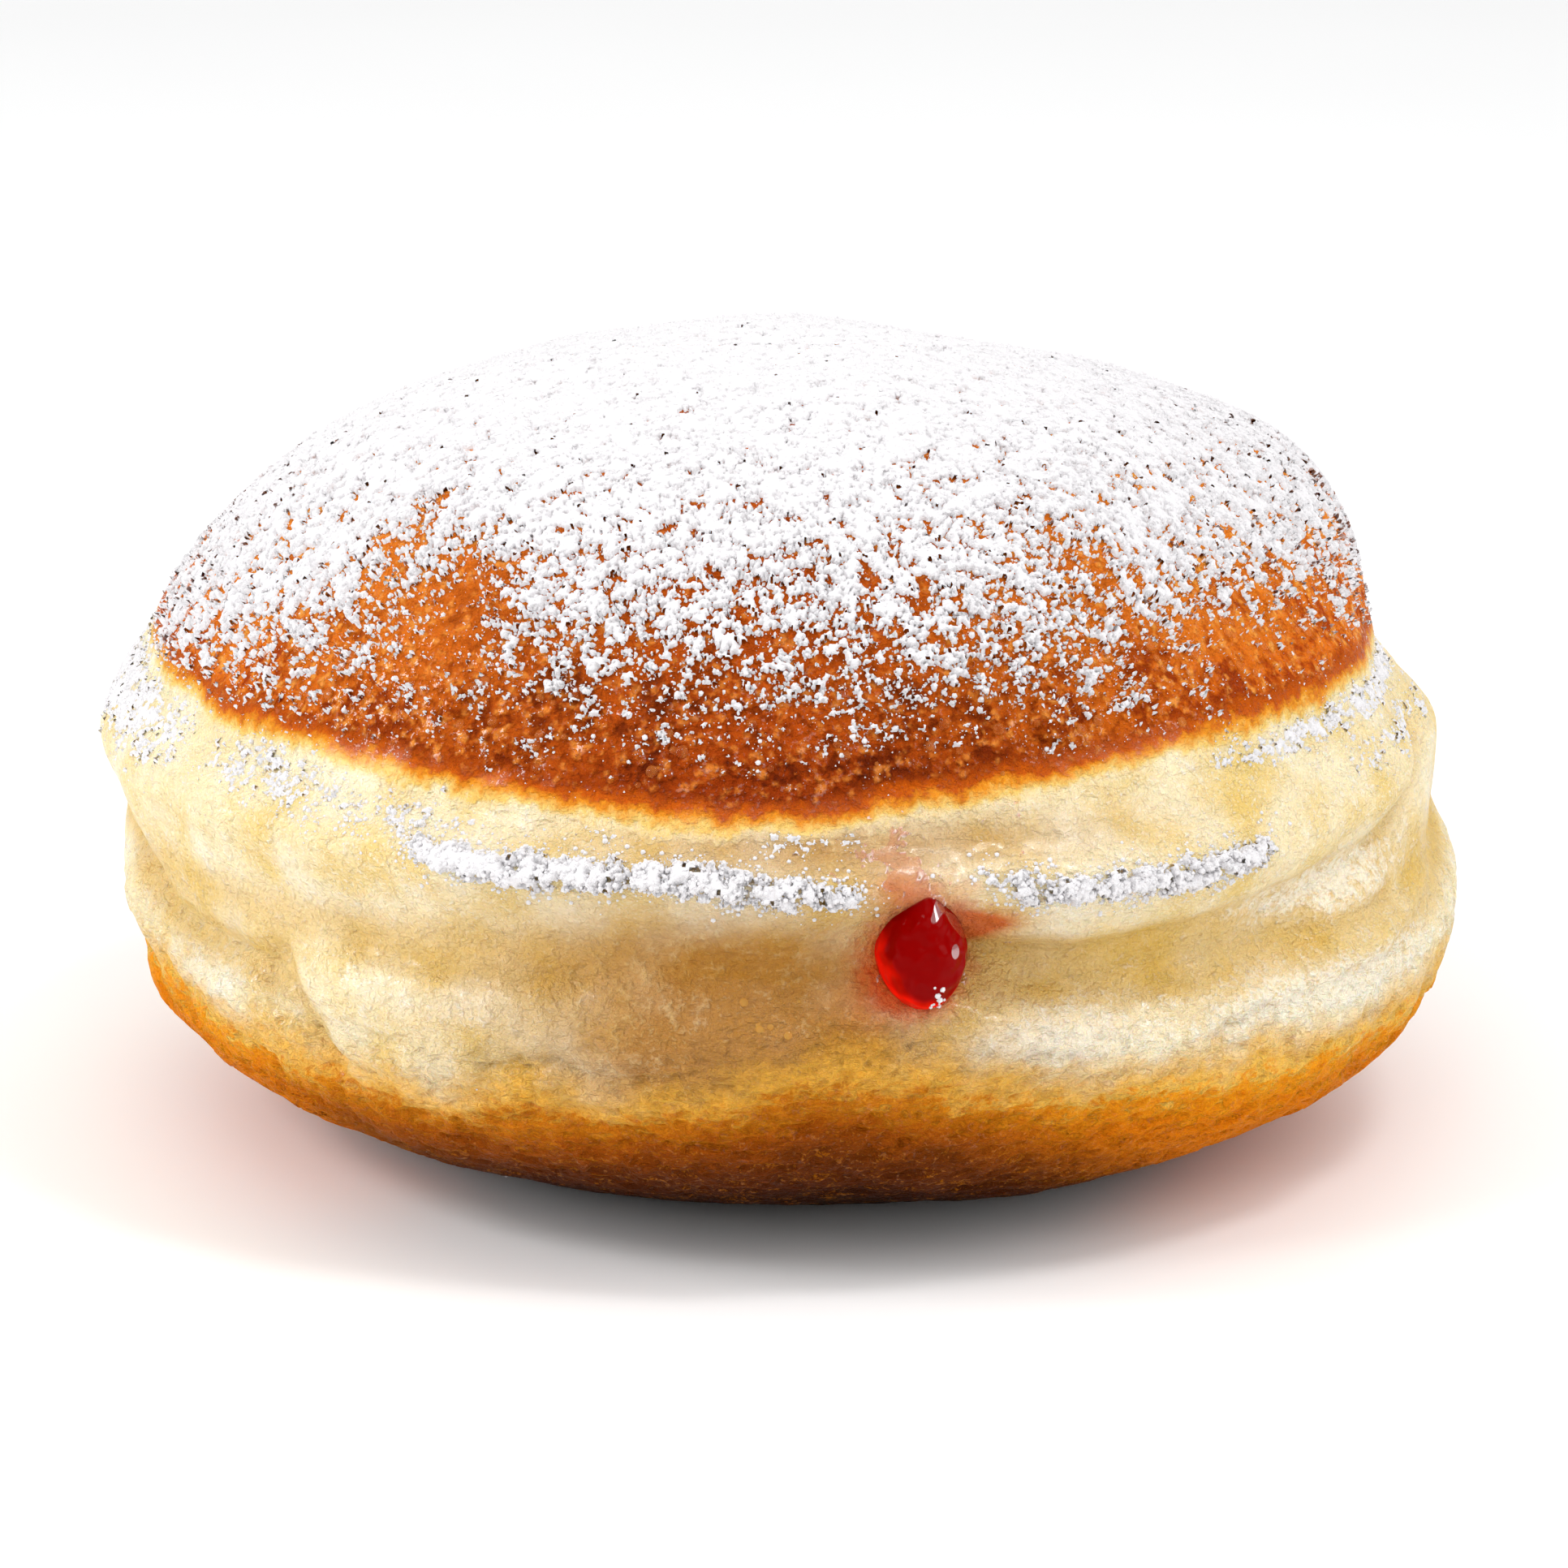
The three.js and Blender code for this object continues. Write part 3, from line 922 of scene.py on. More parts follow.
def dough_finish(dough):
    finish = Finish("dough")
    crown, foot = finish.field("crown"), finish.field("foot")
    patch = finish.field("patch")
    mottle = finish.noise(finish.place, 0.9, 2, 0.6)
    grain = finish.noise(finish.place, 0.26, 2, 0.65)
    pebble = 1 - finish.cells(finish.place, 0.7)
    pit = finish.cells(finish.place, 0.42).step(0.6, 0.95)
    fibre = finish.noise(finish.scaled(finish.place, (1, 1, 2.2)), 1.3, 3, 0.65, 0.4)

    rim = crown + 1.8 * patch + 1.1 * mottle + 0.25 * grain
    gold_rim = finish.ramp(
        (rim + 2.3) / 3.8,
        (0.0, tuple(dough.band)),
        (0.26, linear(240, 200, 112)),
        (0.46, linear(232, 148, 34)),
        (0.64, linear(196, 88, 6)),
        (1.0, linear(150, 54, 2)),
    )
    band = finish.blend(rim.step(-2.6, -1.3), band_colour(finish, dough, patch, mottle, grain), gold_rim)
    top = finish.blend(rim.step(0.4, 2), band, crust_colour(finish, dough, patch, mottle, pebble, pit))

    edge = foot + 2.4 * patch + 1.4 * fibre + 0.7 * grain
    depth = edge + 3.2 * fibre + grain
    # The foot darkens towards its base, to near black: its own brown, with painted shade where the
    # underside gets little light. The middle ramp, the darker one, runs across the front.
    middle_foot = finish.ramp(
        depth / 24,
        (0.0, linear(224, 156, 44)),
        (0.05, linear(204, 122, 14)),
        (0.17, linear(158, 76, 4)),
        (0.33, tuple(dough.foot)),
        (0.56, linear(66, 24, 1)),
        (1.0, linear(32, 11, 1)),
    )
    side_foot = finish.ramp(
        depth / 24,
        (0.0, linear(248, 194, 78)),
        (0.06, linear(242, 156, 22)),
        (0.2, linear(228, 126, 4)),
        (0.5, linear(224, 118, 3)),
        (0.8, linear(206, 100, 2)),
        (1.0, linear(110, 44, 2)),
    )
    foot_colour = finish.blend(finish.field("deep"), side_foot, middle_foot)
    light = finish.blend((fibre + grain).step(0.1, 0.6) * 0.35, foot_colour, linear(226, 134, 14))
    streak = finish.blend((0 - fibre - grain).step(0.15, 0.6) * 0.4, light, linear(84, 30, 1))
    golden = finish.blend(edge.step(-4.5, 0) * 0.85, top, linear(240, 178, 62))
    whole = finish.blend(edge.step(-1.4, 1.2), golden, streak)

    hole = finish.field("hole") + 2.4 * patch + 1.6 * mottle
    stained = (1 - hole.step(4, 7)) * 0.6 + finish.field("stain") * (0.7 + 0.5 * patch + 0.4 * mottle)
    colour = finish.blend(stained.least(0.85), whole, linear(202, 78, 16))

    on_crown = crown.step(-1, 2)
    low_band = edge.step(-9, -2)
    on_foot = edge.step(-1, 3)
    crinkle = fibre.math("ABSOLUTE").step(0, 0.3)
    height = (
        pebble * (0.16 + 0.4 * on_crown)
        + grain * (0.2 + 0.02 * on_crown)
        + fibre * (0.2 + 0.35 * on_foot)
        - crinkle * (0.06 + 0.14 * low_band)
        + mottle * (0.42 - 0.06 * on_crown)
        - 0.12 * pit * on_crown
    )
    glint = (0.7 * mottle + 1.5 * grain).step(0.3, 0.45) * (0.4 + 0.6 * on_crown)
    wet = (glint + 0.3 * (1 - on_crown) * (1 - on_foot) * (0.6 + mottle).least(1).most(0)).least(1)
    return finish.finish(
        {
            "Base Color": colour,
            "Roughness": 0.62 - 0.1 * wet,
            "Specular IOR Level": 0.04,
            "Coat Weight": 0.7 * wet,
            "Coat Roughness": 0.14,
            "Coat IOR": 1.6,
            "Subsurface Weight": 0.3,
            "Subsurface Radius": (1, 0.6, 0.25),
            "Subsurface Scale": 0.9 * MM,
            "Normal": finish.bump(height, 1.0),
        }
    )


def blister_finish(dough):
    """Small glossy bubbles in the skin, hardly lighter than what they lie on."""
    finish = Finish("blister")
    crown = finish.field("crown").step(-2, 2)
    speck = finish.noise(finish.place, 0.5, 1)
    # Darker at the front, like the crust there: partly its own browning, partly painted shade.
    crust = finish.blend(finish.field("front"), linear(226, 120, 26), linear(160, 64, 8))
    base = finish.blend(crown, linear(214, 160, 70), crust)
    colour = finish.blend(speck.step(-0.3, 0.4) * 0.4, base, linear(222, 140, 60))
    return finish.finish(
        {
            "Base Color": colour,
            "Roughness": 0.4,
            "Specular IOR Level": 0.1,
            "Coat Weight": 0.3,
            "Coat Roughness": 0.08,
            "Alpha": 0.5,
        }
    )


def jelly_finish(jelly):
    finish = Finish("jelly")
    cloud = finish.noise(finish.place, 1.4, 1)
    # Painted light: brighter red at the lower left rim, as though light came through the thin jelly there.
    colour = finish.blend((finish.field("rim") + 0.5 * cloud).step(0.1, 0.9), jelly.deep, jelly.thin)
    return finish.finish(
        {
            "Base Color": colour,
            "Roughness": jelly.gloss,
            "Specular IOR Level": 0.03,
            "Coat Weight": (finish.field("shine") + 0.3 * cloud).step(0.26, 0.36),
            "Coat Roughness": 0.05,
            "Coat IOR": 3.0,
            "Subsurface Weight": 0.2,
            "Subsurface Radius": (1, 0.02, 0.01),
            "Subsurface Scale": 1.5 * MM,
            "Normal": finish.bump(cloud, 0.3),
        }
    )


def film_finish():
    """A torn wet film over the hole, pink with jelly, with a painted white highlight where its edge curls.
    """
    finish = Finish("film")
    edge = finish.field("curl")
    # Painted highlight: white along the curled edge.
    colour = finish.blend(edge, linear(232, 120, 88), linear(255, 236, 226))
    return finish.finish(
        {
            "Base Color": colour,
            "Roughness": 0.3,
            "Specular IOR Level": 0.2,
            "Coat Weight": 1.0,
            "Coat Roughness": 0.04,
            "Alpha": 0.18 + 0.7 * edge,
            "Normal": finish.bump(finish.noise(finish.place, 0.7, 1), 0.5),
        }
    )


def sugar_finish(sugar):
    finish = Finish("sugar")
    powder = finish.noise(finish.place, 0.2, 3, 0.7)
    # Painted shade: the powder is a little darker and warmer where its bump noise is low.
    colour = finish.blend(powder.step(-0.7, 0.1), linear(236, 230, 231), sugar.white)
    return finish.finish(
        {
            "Base Color": colour,
            "Roughness": 0.9,
            "Specular IOR Level": 0.1,
            "Normal": finish.bump(powder, 0.1),
        }
    )


# Shapes made by geometry nodes


# Heights of the dough's fine relief, in mm.
RELIEF = {"Pebbles": 0.2, "Puckers": 0.2, "Wrinkles": 0.46}


def relief_group(material):
    """The dough's fine relief: a pebbled crust, soft puckers in the band, wrinkles at the foot."""
    group = Shaper("dough_relief", RELIEF)
    crown, foot = group.field("crown"), group.field("foot")
    on_crown = crown.step(-1.5, 1.5)
    pebble = 0.5 - group.cells(group.place, 1.7, "SMOOTH_F1")
    pucker = group.noise(group.place, 2.6, 2)
    flat = group.scaled(group.place, (1, 1, 2.6))
    wrinkle = group.noise(flat, 3.2, 3, 0.55, 0.8)
    ridge = 1 - wrinkle.math("ABSOLUTE").step(0, 0.35)
    low_band = foot.step(-11, -2) * (1 - foot.step(8, 22))
    height = (
        on_crown * (group.size("Pebbles") * pebble * 1.4 + 0.12 * pucker)
        + (1 - on_crown) * group.size("Puckers") * pucker
        + low_band * group.size("Wrinkles") * (ridge - 0.3)
    )
    patched = group.keep(group.size("Geometry"), "patch", group.noise(group.place, 4.5, 3))
    clouded = group.keep(patched, "cloud", group.noise(group.place, 1.6, 3, 0.6))
    return group.close(group.push(clouded, height), material)


def coat_group(material):
    """Sugar heaped in clumps: the skin lifted where sugar lies, and cut away where it doesn't."""
    sizes = {"Clump": 1.0, "Base": 0.06, "Large": 0.16, "Small": 0.13, "Heap": 0.35}
    group = Shaper("sugar_coat", sizes)
    place = group.node(
        "ShaderNodeVectorMath",
        {"operation": "SCALE"},
        {0: group.place, "Scale": 1 / group.size("Clump")},
    )
    cloud = group.noise(place, 1.6, 3, 0.6)
    fine = group.noise(place, 0.26, 2, 0.6)
    large = group.cells(place, 0.62)
    small = group.cells(place, 0.28)
    clumped = 3.6 * (0.45 - large) + 3.6 * (0.45 - small)
    level = group.field("cover") + 3.4 * cloud + clumped + 2 * fine
    there = level.step(-0.2, 1.6)
    heap = group.size("Heap") * (group.field("heap") + 0.12 * cloud).step(0.6, 1)
    dome = (1 - large * large).most(0) ** 0.5
    crumb = (1 - small * small).most(0) ** 0.5
    flatter = 0.45 + 0.55 * group.field("crown").step(-2, 1)
    clump = (group.size("Large") * dome + group.size("Small") * crumb) * flatter
    height = group.size("Base") + clump + 0.1 * fine
    sunk = 0.06 + 0.14 * flatter
    lifted = group.push(group.size("Geometry"), there * (height + heap) - sunk * (1 - there))
    return group.close(group.cut_away(lifted, level.math("LESS_THAN", -0.9)), material)


def film_group(material):
    """A wet film lifted off the skin and cut away where it isn't, with an edge that curls up."""
    group = Shaper("wet_film", {"Lift": 0.08, "Ridge": 0.3})
    level = group.field("wet") + 1.8 * group.noise(group.place, 0.9, 2)
    there = level.step(-0.05, 0.3)
    # The curled edge is kept for the finish, which paints it white as a highlight.
    curl = level.step(-0.1, 0.06) * (1 - level.step(0.1, 0.32))
    kept_curl = group.keep(group.size("Geometry"), "curl", curl)
    height = there * (group.size("Lift") + group.size("Ridge") * curl) - 0.2 * (1 - there)
    lifted = group.push(kept_curl, height)
    return group.close(group.cut_away(lifted, level.math("LESS_THAN", -0.2)), material)


def scatter_group(name, material, field, shape):
    """Balls scattered where a field says: round lumps, small four-sided grains, or low domes."""
    sizes = {
        "Density": 1.0,
        "Least": 0.1,
        "Most": 0.3,
        "Gather": 5.0,
        "Need": 0.0,
        "Spread": 2.0,
        "Seed": 1,
    }
    group = Shaper(name, sizes)
    cloud = group.noise(group.place, 1.6, 3, 0.6)
    level = group.field(field) + group.size("Gather") * cloud - group.size("Need")
    share = (level / group.size("Spread")).least(1).most(0)
    points = group.node(
        "GeometryNodeDistributePointsOnFaces",
        {"distribute_method": "RANDOM"},
        {
            "Mesh": group.size("Geometry"),
            "Density": share * group.size("Density") * 1e6,
            "Seed": group.size("Seed"),
        },
    )
    if shape == "grain":
        settings = {"Vertices": 4, "Radius Bottom": 1.0, "Depth": 1.2}
        ball = group.node("GeometryNodeMeshCone", None, settings)
    else:
        settings = {"Radius": 1.0, "Subdivisions": 2 if shape == "dome" else 1}
        ball = group.node("GeometryNodeMeshIcoSphere", None, settings)
    if shape == "dome":
        turn = Value(group, points.socket.node.outputs["Rotation"])
    else:
        turn = group.node(
            "FunctionNodeRandomValue",
            {"data_type": "FLOAT_VECTOR"},
            {0: (0, 0, 0), 1: (6.3, 6.3, 6.3), "Seed": group.size("Seed")},
        )
    draw = group.node(
        "FunctionNodeRandomValue",
        {"data_type": "FLOAT"},
        {2: 0.0, 3: 1.0, "Seed": group.size("Seed") + 1},
        output=1,
    )
    least, most = group.size("Least"), group.size("Most")
    radius = (least + (most - least) * draw * draw) * MM
    stretch = group.node(
        "ShaderNodeVectorMath",
        {"operation": "SCALE"},
        {0: (1, 1, 0.36) if shape == "dome" else (1, 1, 1), "Scale": radius},
    )
    scattered = group.node(
        "GeometryNodeInstanceOnPoints",
        None,
        {"Points": points, "Instance": ball, "Rotation": turn, "Scale": stretch},
    )
    return group.close(scattered, material)


# Pieces


def jelly_points(steps, sides, grow, swell=0.0):
    """The jelly's surface along -Y, as rings from the pocket to the bead. Swell fills out the bead."""
    run = np.array(JELLY_RUN, float)
    t = np.linspace(0, len(run) - 1, steps + 1)
    i = np.clip(t.astype(int), 0, len(run) - 2)
    f = (t - i)[:, None]
    start, end = run[i], run[i + 1]
    before, after = run[np.maximum(i - 1, 0)], run[np.minimum(i + 2, len(run) - 1)]
    pull_start, pull_end = (end - before) / 2, (after - start) / 2
    line = (
        (2 * f**3 - 3 * f**2 + 1) * start
        + (f**3 - 2 * f**2 + f) * pull_start
        + (3 * f**2 - 2 * f**3) * end
        + (f**3 - f**2) * pull_end
    )
    tangent = np.gradient(line, axis=0)
    tangent /= np.linalg.norm(tangent, axis=1)[:, None]
    line = line + grow * np.stack([-tangent[:, 1], tangent[:, 0]], axis=1)
    along, radius = line[:, 0], np.maximum(line[:, 1], 0.02)
    full = swell * np.clip((along - BEAD_SWELL["from"]) / (BEAD_SWELL["to"] - BEAD_SWELL["from"]), 0, 1)
    radius = radius * (1 + BEAD_SWELL["radius"] * full / 3)
    along = along + BEAD_SWELL["length"] * full
    turn = np.linspace(0, 2 * math.pi, sides, endpoint=False)
    near = np.clip((along - 8) / 12, 0, 1)
    near = (near * near * (3 - 2 * near))[:, None]
    pointed = 1 - full[:, None] * (0.16 + 0.42 * np.clip(np.sin(turn), 0, 1) ** 1.3)
    x = radius[:, None] * np.cos(turn) * (1 + (BEAD_WIDTH_SHARE - 1) * near) * pointed
    taller = 1 + 0.1 * full[:, None] * np.clip(np.sin(turn), 0, 1)
    z = radius[:, None] * np.sin(turn) * (POCKET_HEIGHT_SHARE + (1 - POCKET_HEIGHT_SHARE) * near) * taller
    y = np.repeat(-along[:, None], sides, axis=1)
    return np.stack([x.ravel(), y.ravel(), z.ravel()], axis=1)


def aimed(points):
    """Points along -Y turned so that they run from the heart to the hole."""
    tilt, heading = math.radians(-HOLE[1]), math.radians(HOLE[0])
    lower = np.array([[1, 0, 0], [0, math.cos(tilt), -math.sin(tilt)], [0, math.sin(tilt), math.cos(tilt)]])
    aside = np.array(
        [[math.cos(heading), -math.sin(heading), 0], [math.sin(heading), math.cos(heading), 0], [0, 0, 1]]
    )
    return points @ lower.T @ aside.T + np.array([0, 0, HEART_HEIGHT])


def ring_faces(rings, sides):
    """Squares between rings of points, each ring closed on itself."""
    corner = np.arange((rings - 1) * sides).reshape(rings - 1, sides)
    beside = np.roll(corner, -1, axis=1)
    return np.stack([corner, beside, beside + sides, corner + sides], axis=-1).reshape(-1, 4)


def jelly_mesh(name, steps, sides, grow, shift):
    points = aimed(jelly_points(steps, sides, grow, swell=1))
    mesh = mesh_of(name, points, ring_faces(steps + 1, sides), shift)
    build = bmesh.new()
    build.from_mesh(mesh)
    bmesh.ops.remove_doubles(build, verts=build.verts, dist=0.06 * MM)
    bmesh.ops.holes_fill(build, edges=build.edges)
    bmesh.ops.recalc_face_normals(build, faces=build.faces)
    build.to_mesh(mesh)
    build.free()
    mesh.shade_smooth()
    return mesh


def solid_shift():
    """Where the solids put the heart's axis: the jelly's own box tells."""
    mine = aimed(jelly_points(120, 48, 0))
    low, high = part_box("jelly")
    theirs = (np.array(low) + np.array(high)) / 2 / MM
    shift = theirs - (mine.min(0) + mine.max(0)) / 2
    return np.array([shift[0], shift[1], 0.0])


def hand_over(piece, slot, replaced=None):
    """Gives a finished piece the root body and hides the node that it stands for. The slot is not used."""
    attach(piece, "root")
    if replaced:
        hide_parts(replaced)


class DOUGHNUT_OT_dough(bpy.types.Operator):
    """Makes the dough with its crown, its band and its foot"""

    bl_idname = "doughnut.dough"
    bl_label = "Dough"

    def execute(self, context):
        dough = context.scene.doughnut_dough
        shift = solid_shift()
        toward, faces = sphere_grid(dough.fineness, DOUGH_LEAN)
        points = skin(toward, dough)
        points[:, 2] = np.maximum(points[:, 2], 0)
        piece = placed("dough_skin", mesh_of("dough_skin", points, faces, shift))
        write_fields(piece.data, shift)
        relief_group(dough_finish(dough)).apply(piece, RELIEF)
        floor = points_of(piece.data)
        floor[:, 2] = np.maximum(floor[:, 2], 0)
        piece.data.vertices.foreach_set("co", floor.astype(np.float32).ravel())
        cutter = placed("hollow", jelly_mesh("hollow", steps=90, sides=48, grow=HOLLOW_GROWTH, shift=shift))
        cut = piece.modifiers.new("hollow", "BOOLEAN")
        cut.operation = "DIFFERENCE"
        cut.solver = "MANIFOLD"
        cut.object = cutter
        take_modifiers(piece)
        bpy.data.objects.remove(cutter)
        if len(piece.data.polygons) < dough.fineness**2:
            raise RuntimeError("the hollow for the jelly couldn't be cut")
        piece.data.shade_smooth()
        write_fields(piece.data, shift)
        hand_over(piece, "dough", "dough")
        return {"FINISHED"}


class DOUGHNUT_OT_jelly(bpy.types.Operator):
    """Makes the jelly with its bead at the hole"""

    bl_idname = "doughnut.jelly"
    bl_label = "Jelly"

    def execute(self, context):
        shift = solid_shift()
        piece = placed("jelly_run", jelly_mesh("jelly_run", steps=180, sides=120, grow=0, shift=shift))
        place = points_of(piece.data) / MM - shift
        place[:, 2] -= HEART_HEIGHT
        along = place @ direction(*HOLE)
        side = place - along[:, None] * direction(*HOLE)
        across, up = side @ direction(HOLE[0] + 90, 0), side[:, 2]
        rim = np.hypot(across / BEAD_WIDTH_SHARE, up) / 3.7
        lower_left = (-0.5 * across - 0.6 * up) / 2.6
        # Brighter red is painted at the lower left rim as though light came through, three wet spots shine,
        # and a few grains of sugar stick low down.
        fields = {
            "rim": np.clip(rim - 0.68, 0, 1) * 3 * np.clip(lower_left + 0.35, 0, 1),
            "shine": bell(across - 1.8 + 0.7 * (up - 1.7), 0.34) * bell(up - 1.7, 0.9)
            + bell(across - 1.5, 0.26) * bell(up - 0.3, 0.42)
            + bell(across - 0.5 - 0.5 * (up - 3), 0.36) * bell(up - 3, 0.7),
            "speck": bell(np.hypot(across - 0.5, up + 2.8), 0.8),
        }
        for name, values in fields.items():
            store(piece.data, name, values)
        piece.data.materials.append(jelly_finish(context.scene.doughnut_jelly))
        hand_over(piece, "jelly", "jelly")
        self.make_film(context.scene.doughnut_dough, shift)
        return {"FINISHED"}

    def make_film(self, dough, shift):
        """A grid over the hole and above it, in degrees, kept where the film is."""
        step = 0.2
        across, up = np.meshgrid(np.arange(-9, 9, step), np.arange(-7, 12, step), indexing="ij")
        heading, latitude = HOLE[0] + across.ravel(), HOLE[1] + up.ravel()
        rows = across.shape[1]
        corner = np.arange(across.size).reshape(across.shape)[:-1, :-1].ravel()
        faces = np.stack([corner, corner + rows, corner + rows + 1, corner + 1], axis=1)
        points = skin(direction(heading, latitude), dough)
        piece = placed("wet_film", mesh_of("wet_film", points, faces, shift))
        upper_end, lower_end = (HOLE[0] - 3.4, HOLE[1] + 9), (HOLE[0] - 0.6, HOLE[1] + 4.6)
        smear = distance_to_run(heading, latitude, upper_end, lower_end)
        store(piece.data, "wet", 1.5 * bell(smear, 1.7) - 0.5)
        film_group(film_finish()).apply(piece, {"Lift": 0.05, "Ridge": 0.22})
        piece.data.shade_smooth()
        hand_over(piece, "jelly")


class DOUGHNUT_OT_coat(bpy.types.Operator):
    """Makes the coat of sugar on the crown and the drift on the ledge"""

    bl_idname = "doughnut.coat"
    bl_label = "Sugar coat"

    def execute(self, context):
        dough, sugar = context.scene.doughnut_dough, context.scene.doughnut_sugar
        shift = solid_shift()
        group = coat_group(sugar_material(sugar))
        coarser = 1
        grids = {}
        # Each piece's share of the fineness, the headings and the latitudes that it lies between.
        parts = {
            "sugar_left": (1, -90, 0, COAT_START, COAT_TOP),
            "sugar_right": (1, 0, 90, COAT_START, COAT_TOP),
            "sugar_top_left": (1, -90, 0, COAT_TOP, 90),
            "sugar_top_right": (1, 0, 90, COAT_TOP, 90),
            "sugar_back": (0.74, 90, 270, COAT_START, 90),
        }
        for name, (share, start, end, low, high) in parts.items():
            if share not in grids:
                grids[share] = self.make_grid(round(sugar.fineness * share * coarser))
            toward, faces, heading, latitude = grids[share]
            inside = ((heading - start) % 360 < end - start) & (latitude >= low) & (latitude < high)
            kept = faces[inside & (cover(heading, latitude) > -5)]
            used, corners = np.unique(kept, return_inverse=True)
            points = skin(toward[used], dough)
            piece = placed(name, mesh_of(name, points, corners.reshape(kept.shape), shift))
            write_fields(piece.data, shift)
            group.apply(piece, {"Clump": sugar.clump, "Base": sugar.thickness, "Heap": sugar.heap})
            piece.data.shade_smooth()
            hand_over(piece, "sugar")
        return {"FINISHED"}

    def make_grid(self, squares):
        """Directions and squares of the whole round, with the heading and latitude of each square."""
        toward, faces = sphere_grid(squares, COAT_LEAN)
        middle = toward[faces].mean(axis=1)
        middle /= np.linalg.norm(middle, axis=1)[:, None]
        return (toward, faces, *angles_of(middle))


class DOUGHNUT_OT_grains(bpy.types.Operator):
    """Scatters blisters in the crust, and loose clumps and grains of sugar"""

    bl_idname = "doughnut.grains"
    bl_label = "Blisters and loose sugar"

    def execute(self, context):
        sugar = context.scene.doughnut_sugar
        white = sugar_material(sugar)
        bubble = blister_finish(context.scene.doughnut_dough)
        on_dough = [bpy.data.objects["dough_skin"]]
        on_coat = [piece for piece in bpy.data.objects if piece.name.startswith("sugar_")]
        on_jelly = [bpy.data.objects["jelly_run"]]
        # What each kind lies on, its finish, the field that it follows, its shape and its sizes.
        kinds = {
            "sugar_clumps": (on_coat, white, "cover", "lump", (0.85, 0.07, 0.22, 3.0, -1.5, 3.0)),
            "sugar_crumbs": (on_dough, white, "cover", "lump", (1.6, 0.06, 0.17, 5.0, 0.1, 1.6)),
            "sugar_grains": (on_dough, white, "cover", "grain", (5.4, 0.035, 0.1, 5.0, -1.6, 4.0)),
            "drift_crumbs": (on_coat + on_dough, white, "heap", "lump", (8, 0.06, 0.19, 0.9, 0.36, 0.6)),
            "sugar_specks": (on_jelly, white, "speck", "lump", (6, 0.08, 0.26, 0.6, 0.3, 0.4)),
            "blisters": (on_dough, bubble, "bubbles", "dome", (0.5, 0.1, 0.45, 0.8, 0.25, 1.0)),
        }
        labels = ("Density", "Least", "Most", "Gather", "Need", "Spread")
        for number, (name, (bases, material, field, shape, sizes)) in enumerate(kinds.items()):
            group = scatter_group(name, material, field, shape)
            piece = placed(name, joined(name, bases))
            group.apply(piece, {**dict(zip(labels, sizes)), "Seed": sugar.seed + 7 * number})
            piece.data.shade_smooth()
            if shape == "dome":
                write_fields(piece.data, solid_shift())
            hand_over(piece, "dough" if shape == "dome" else "sugar")
        return {"FINISHED"}


def sugar_material(sugar):
    return bpy.data.materials.get("sugar") or sugar_finish(sugar)


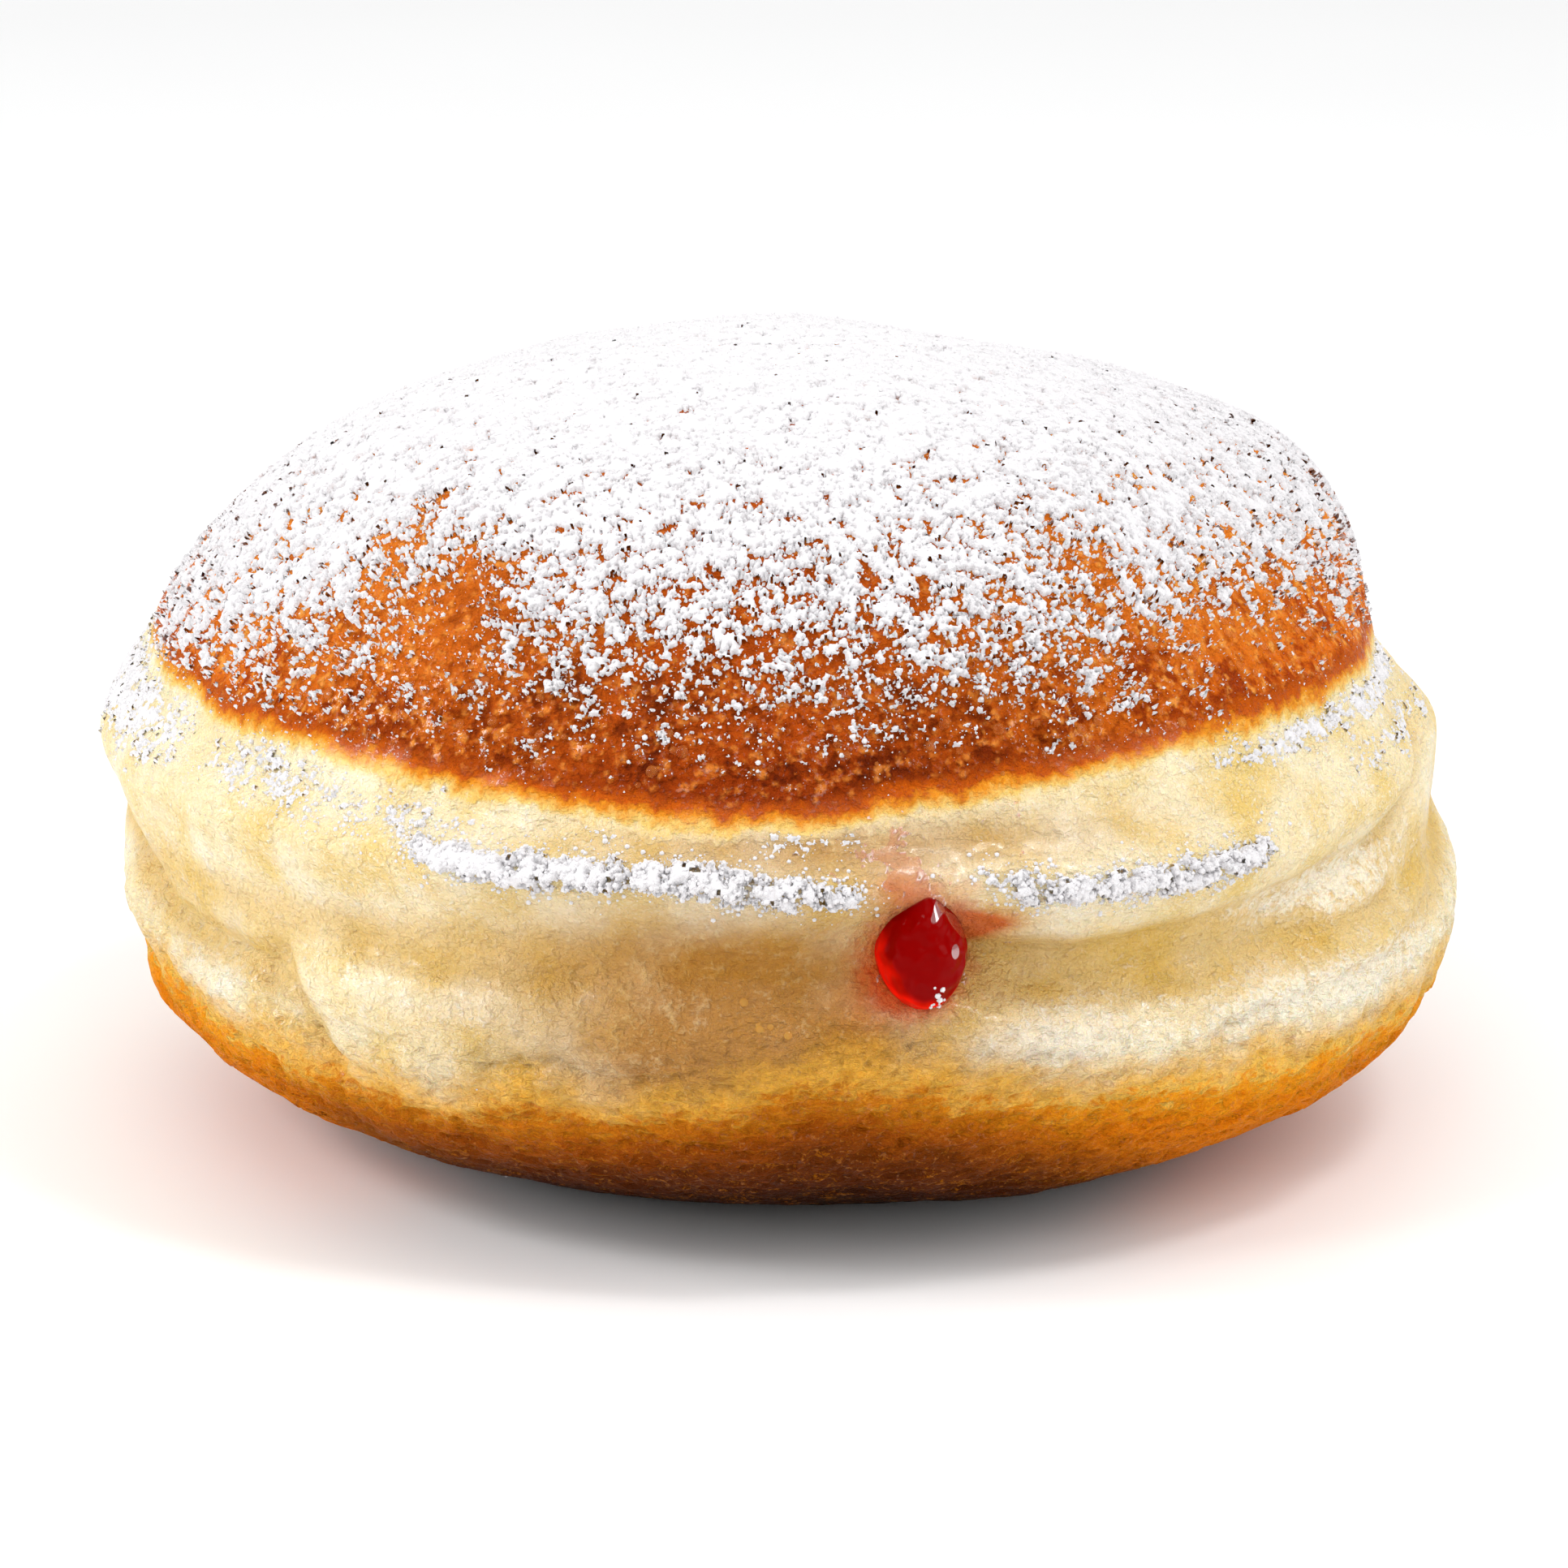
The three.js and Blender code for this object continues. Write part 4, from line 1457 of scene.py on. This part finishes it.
class DOUGHNUT_OT_stage(bpy.types.Operator):
    """Sets the floor, the light and the camera"""

    bl_idname = "doughnut.stage"
    bl_label = "Stage"

    def execute(self, context):
        stage = context.scene.doughnut_stage
        self.lay_floor(stage)
        self.light(context.scene, stage)
        self.set_camera(context.scene, stage)
        return {"FINISHED"}

    def lay_floor(self, stage):
        half = 2.0
        corners = np.array([[-half, -half, 0], [half, -half, 0], [half, half, 0], [-half, half, 0]]) / MM
        floor = placed("floor", mesh_of("floor", corners, np.array([[0, 1, 2, 3]]), np.zeros(3)))
        finish = Finish("floor")
        cloud = finish.noise(finish.place, 60, 1)
        colour = finish.blend(cloud.step(-0.8, 0.8), tuple(0.985 * c for c in stage.floor), stage.floor)
        floor.data.materials.append(finish.finish({"Base Color": colour, "Roughness": 0.6}))

    def light(self, scene, stage):
        scene.view_settings.view_transform = "Standard"
        world = bpy.data.worlds.new("daylight")
        world.use_nodes = True
        background = world.node_tree.nodes["Background"]
        background.inputs["Color"].default_value = (1, 1, 1, 1)
        background.inputs["Strength"].default_value = stage.daylight
        scene.world = world
        # Each lamp's place and size in metres, and its power in watts.
        lamps = {
            "top": ((0.0, 0.45, 1.1), (1.8, 1.8), 4.1),
            "left": ((-0.62, -0.08, 0.30), (0.14, 0.36), 1.9),
            "right": ((0.6, -0.2, 0.5), (0.26, 0.95), 2.6),
            "front": ((0.0, -0.8, 0.55), (0.6, 0.6), 1.7),
            "upper pane": ((0.19, -0.13, 0.48), (0.06, 0.1), 0.4),
            "left spark": ((-0.3, -0.22, 0.32), (0.1, 0.1), 0.4),
        }
        aim = Vector((0, 0, 0.02))
        for name, (place, size, power) in lamps.items():
            data = bpy.data.lights.new(name, "AREA")
            data.shape = "RECTANGLE"
            data.size, data.size_y = size
            data.energy = power
            lamp = placed(name, data)
            lamp.location = place
            lamp.rotation_euler = (aim - lamp.location).to_track_quat("-Z", "Y").to_euler()

    def set_camera(self, scene, stage):
        shift = solid_shift()
        aim = Vector((np.array(AIM) + shift) * MM)
        rise_angle = math.radians(CAMERA_ELEVATION)
        data = bpy.data.cameras.new("camera")
        data.sensor_width = SENSOR
        data.lens = SENSOR * stage.camera_distance / (PICTURE_WIDTH * MM)
        camera = placed("camera", data)
        toward_camera = Vector((0, -math.cos(rise_angle), math.sin(rise_angle)))
        camera.location = aim + stage.camera_distance * toward_camera
        camera.rotation_euler = (aim - camera.location).to_track_quat("-Z", "Y").to_euler()
        scene.camera = camera


class DOUGHNUT_PT_pieces(bpy.types.Panel):
    """Lists the pieces of the doughnut"""

    bl_label = "Doughnut"
    bl_idname = "DOUGHNUT_PT_pieces"
    bl_space_type = "VIEW_3D"
    bl_region_type = "UI"
    bl_category = "Doughnut"

    def draw(self, context):
        for operator in OPERATORS:
            self.layout.operator(operator.bl_idname)


OPERATORS = (DOUGHNUT_OT_stage, DOUGHNUT_OT_dough, DOUGHNUT_OT_jelly, DOUGHNUT_OT_coat, DOUGHNUT_OT_grains)
SETTINGS = {
    "doughnut_dough": DoughSettings,
    "doughnut_jelly": JellySettings,
    "doughnut_sugar": SugarSettings,
    "doughnut_stage": StageSettings,
}


def register():
    for name, settings in SETTINGS.items():
        bpy.utils.register_class(settings)
        setattr(bpy.types.Scene, name, PointerProperty(type=settings))
    for kind in (*OPERATORS, DOUGHNUT_PT_pieces):
        bpy.utils.register_class(kind)


def unregister():
    for kind in reversed((*OPERATORS, DOUGHNUT_PT_pieces)):
        bpy.utils.unregister_class(kind)
    for name, settings in SETTINGS.items():
        delattr(bpy.types.Scene, name)
        bpy.utils.unregister_class(settings)


def plain(box):
    return [[float(number) for number in corner] for corner in box]


def main():
    register()
    bpy.ops.doughnut.stage()
    bpy.ops.doughnut.dough()
    bpy.ops.doughnut.jelly()
    bpy.ops.doughnut.coat()
    bpy.ops.doughnut.grains()


if __name__ == "__main__":
    main()
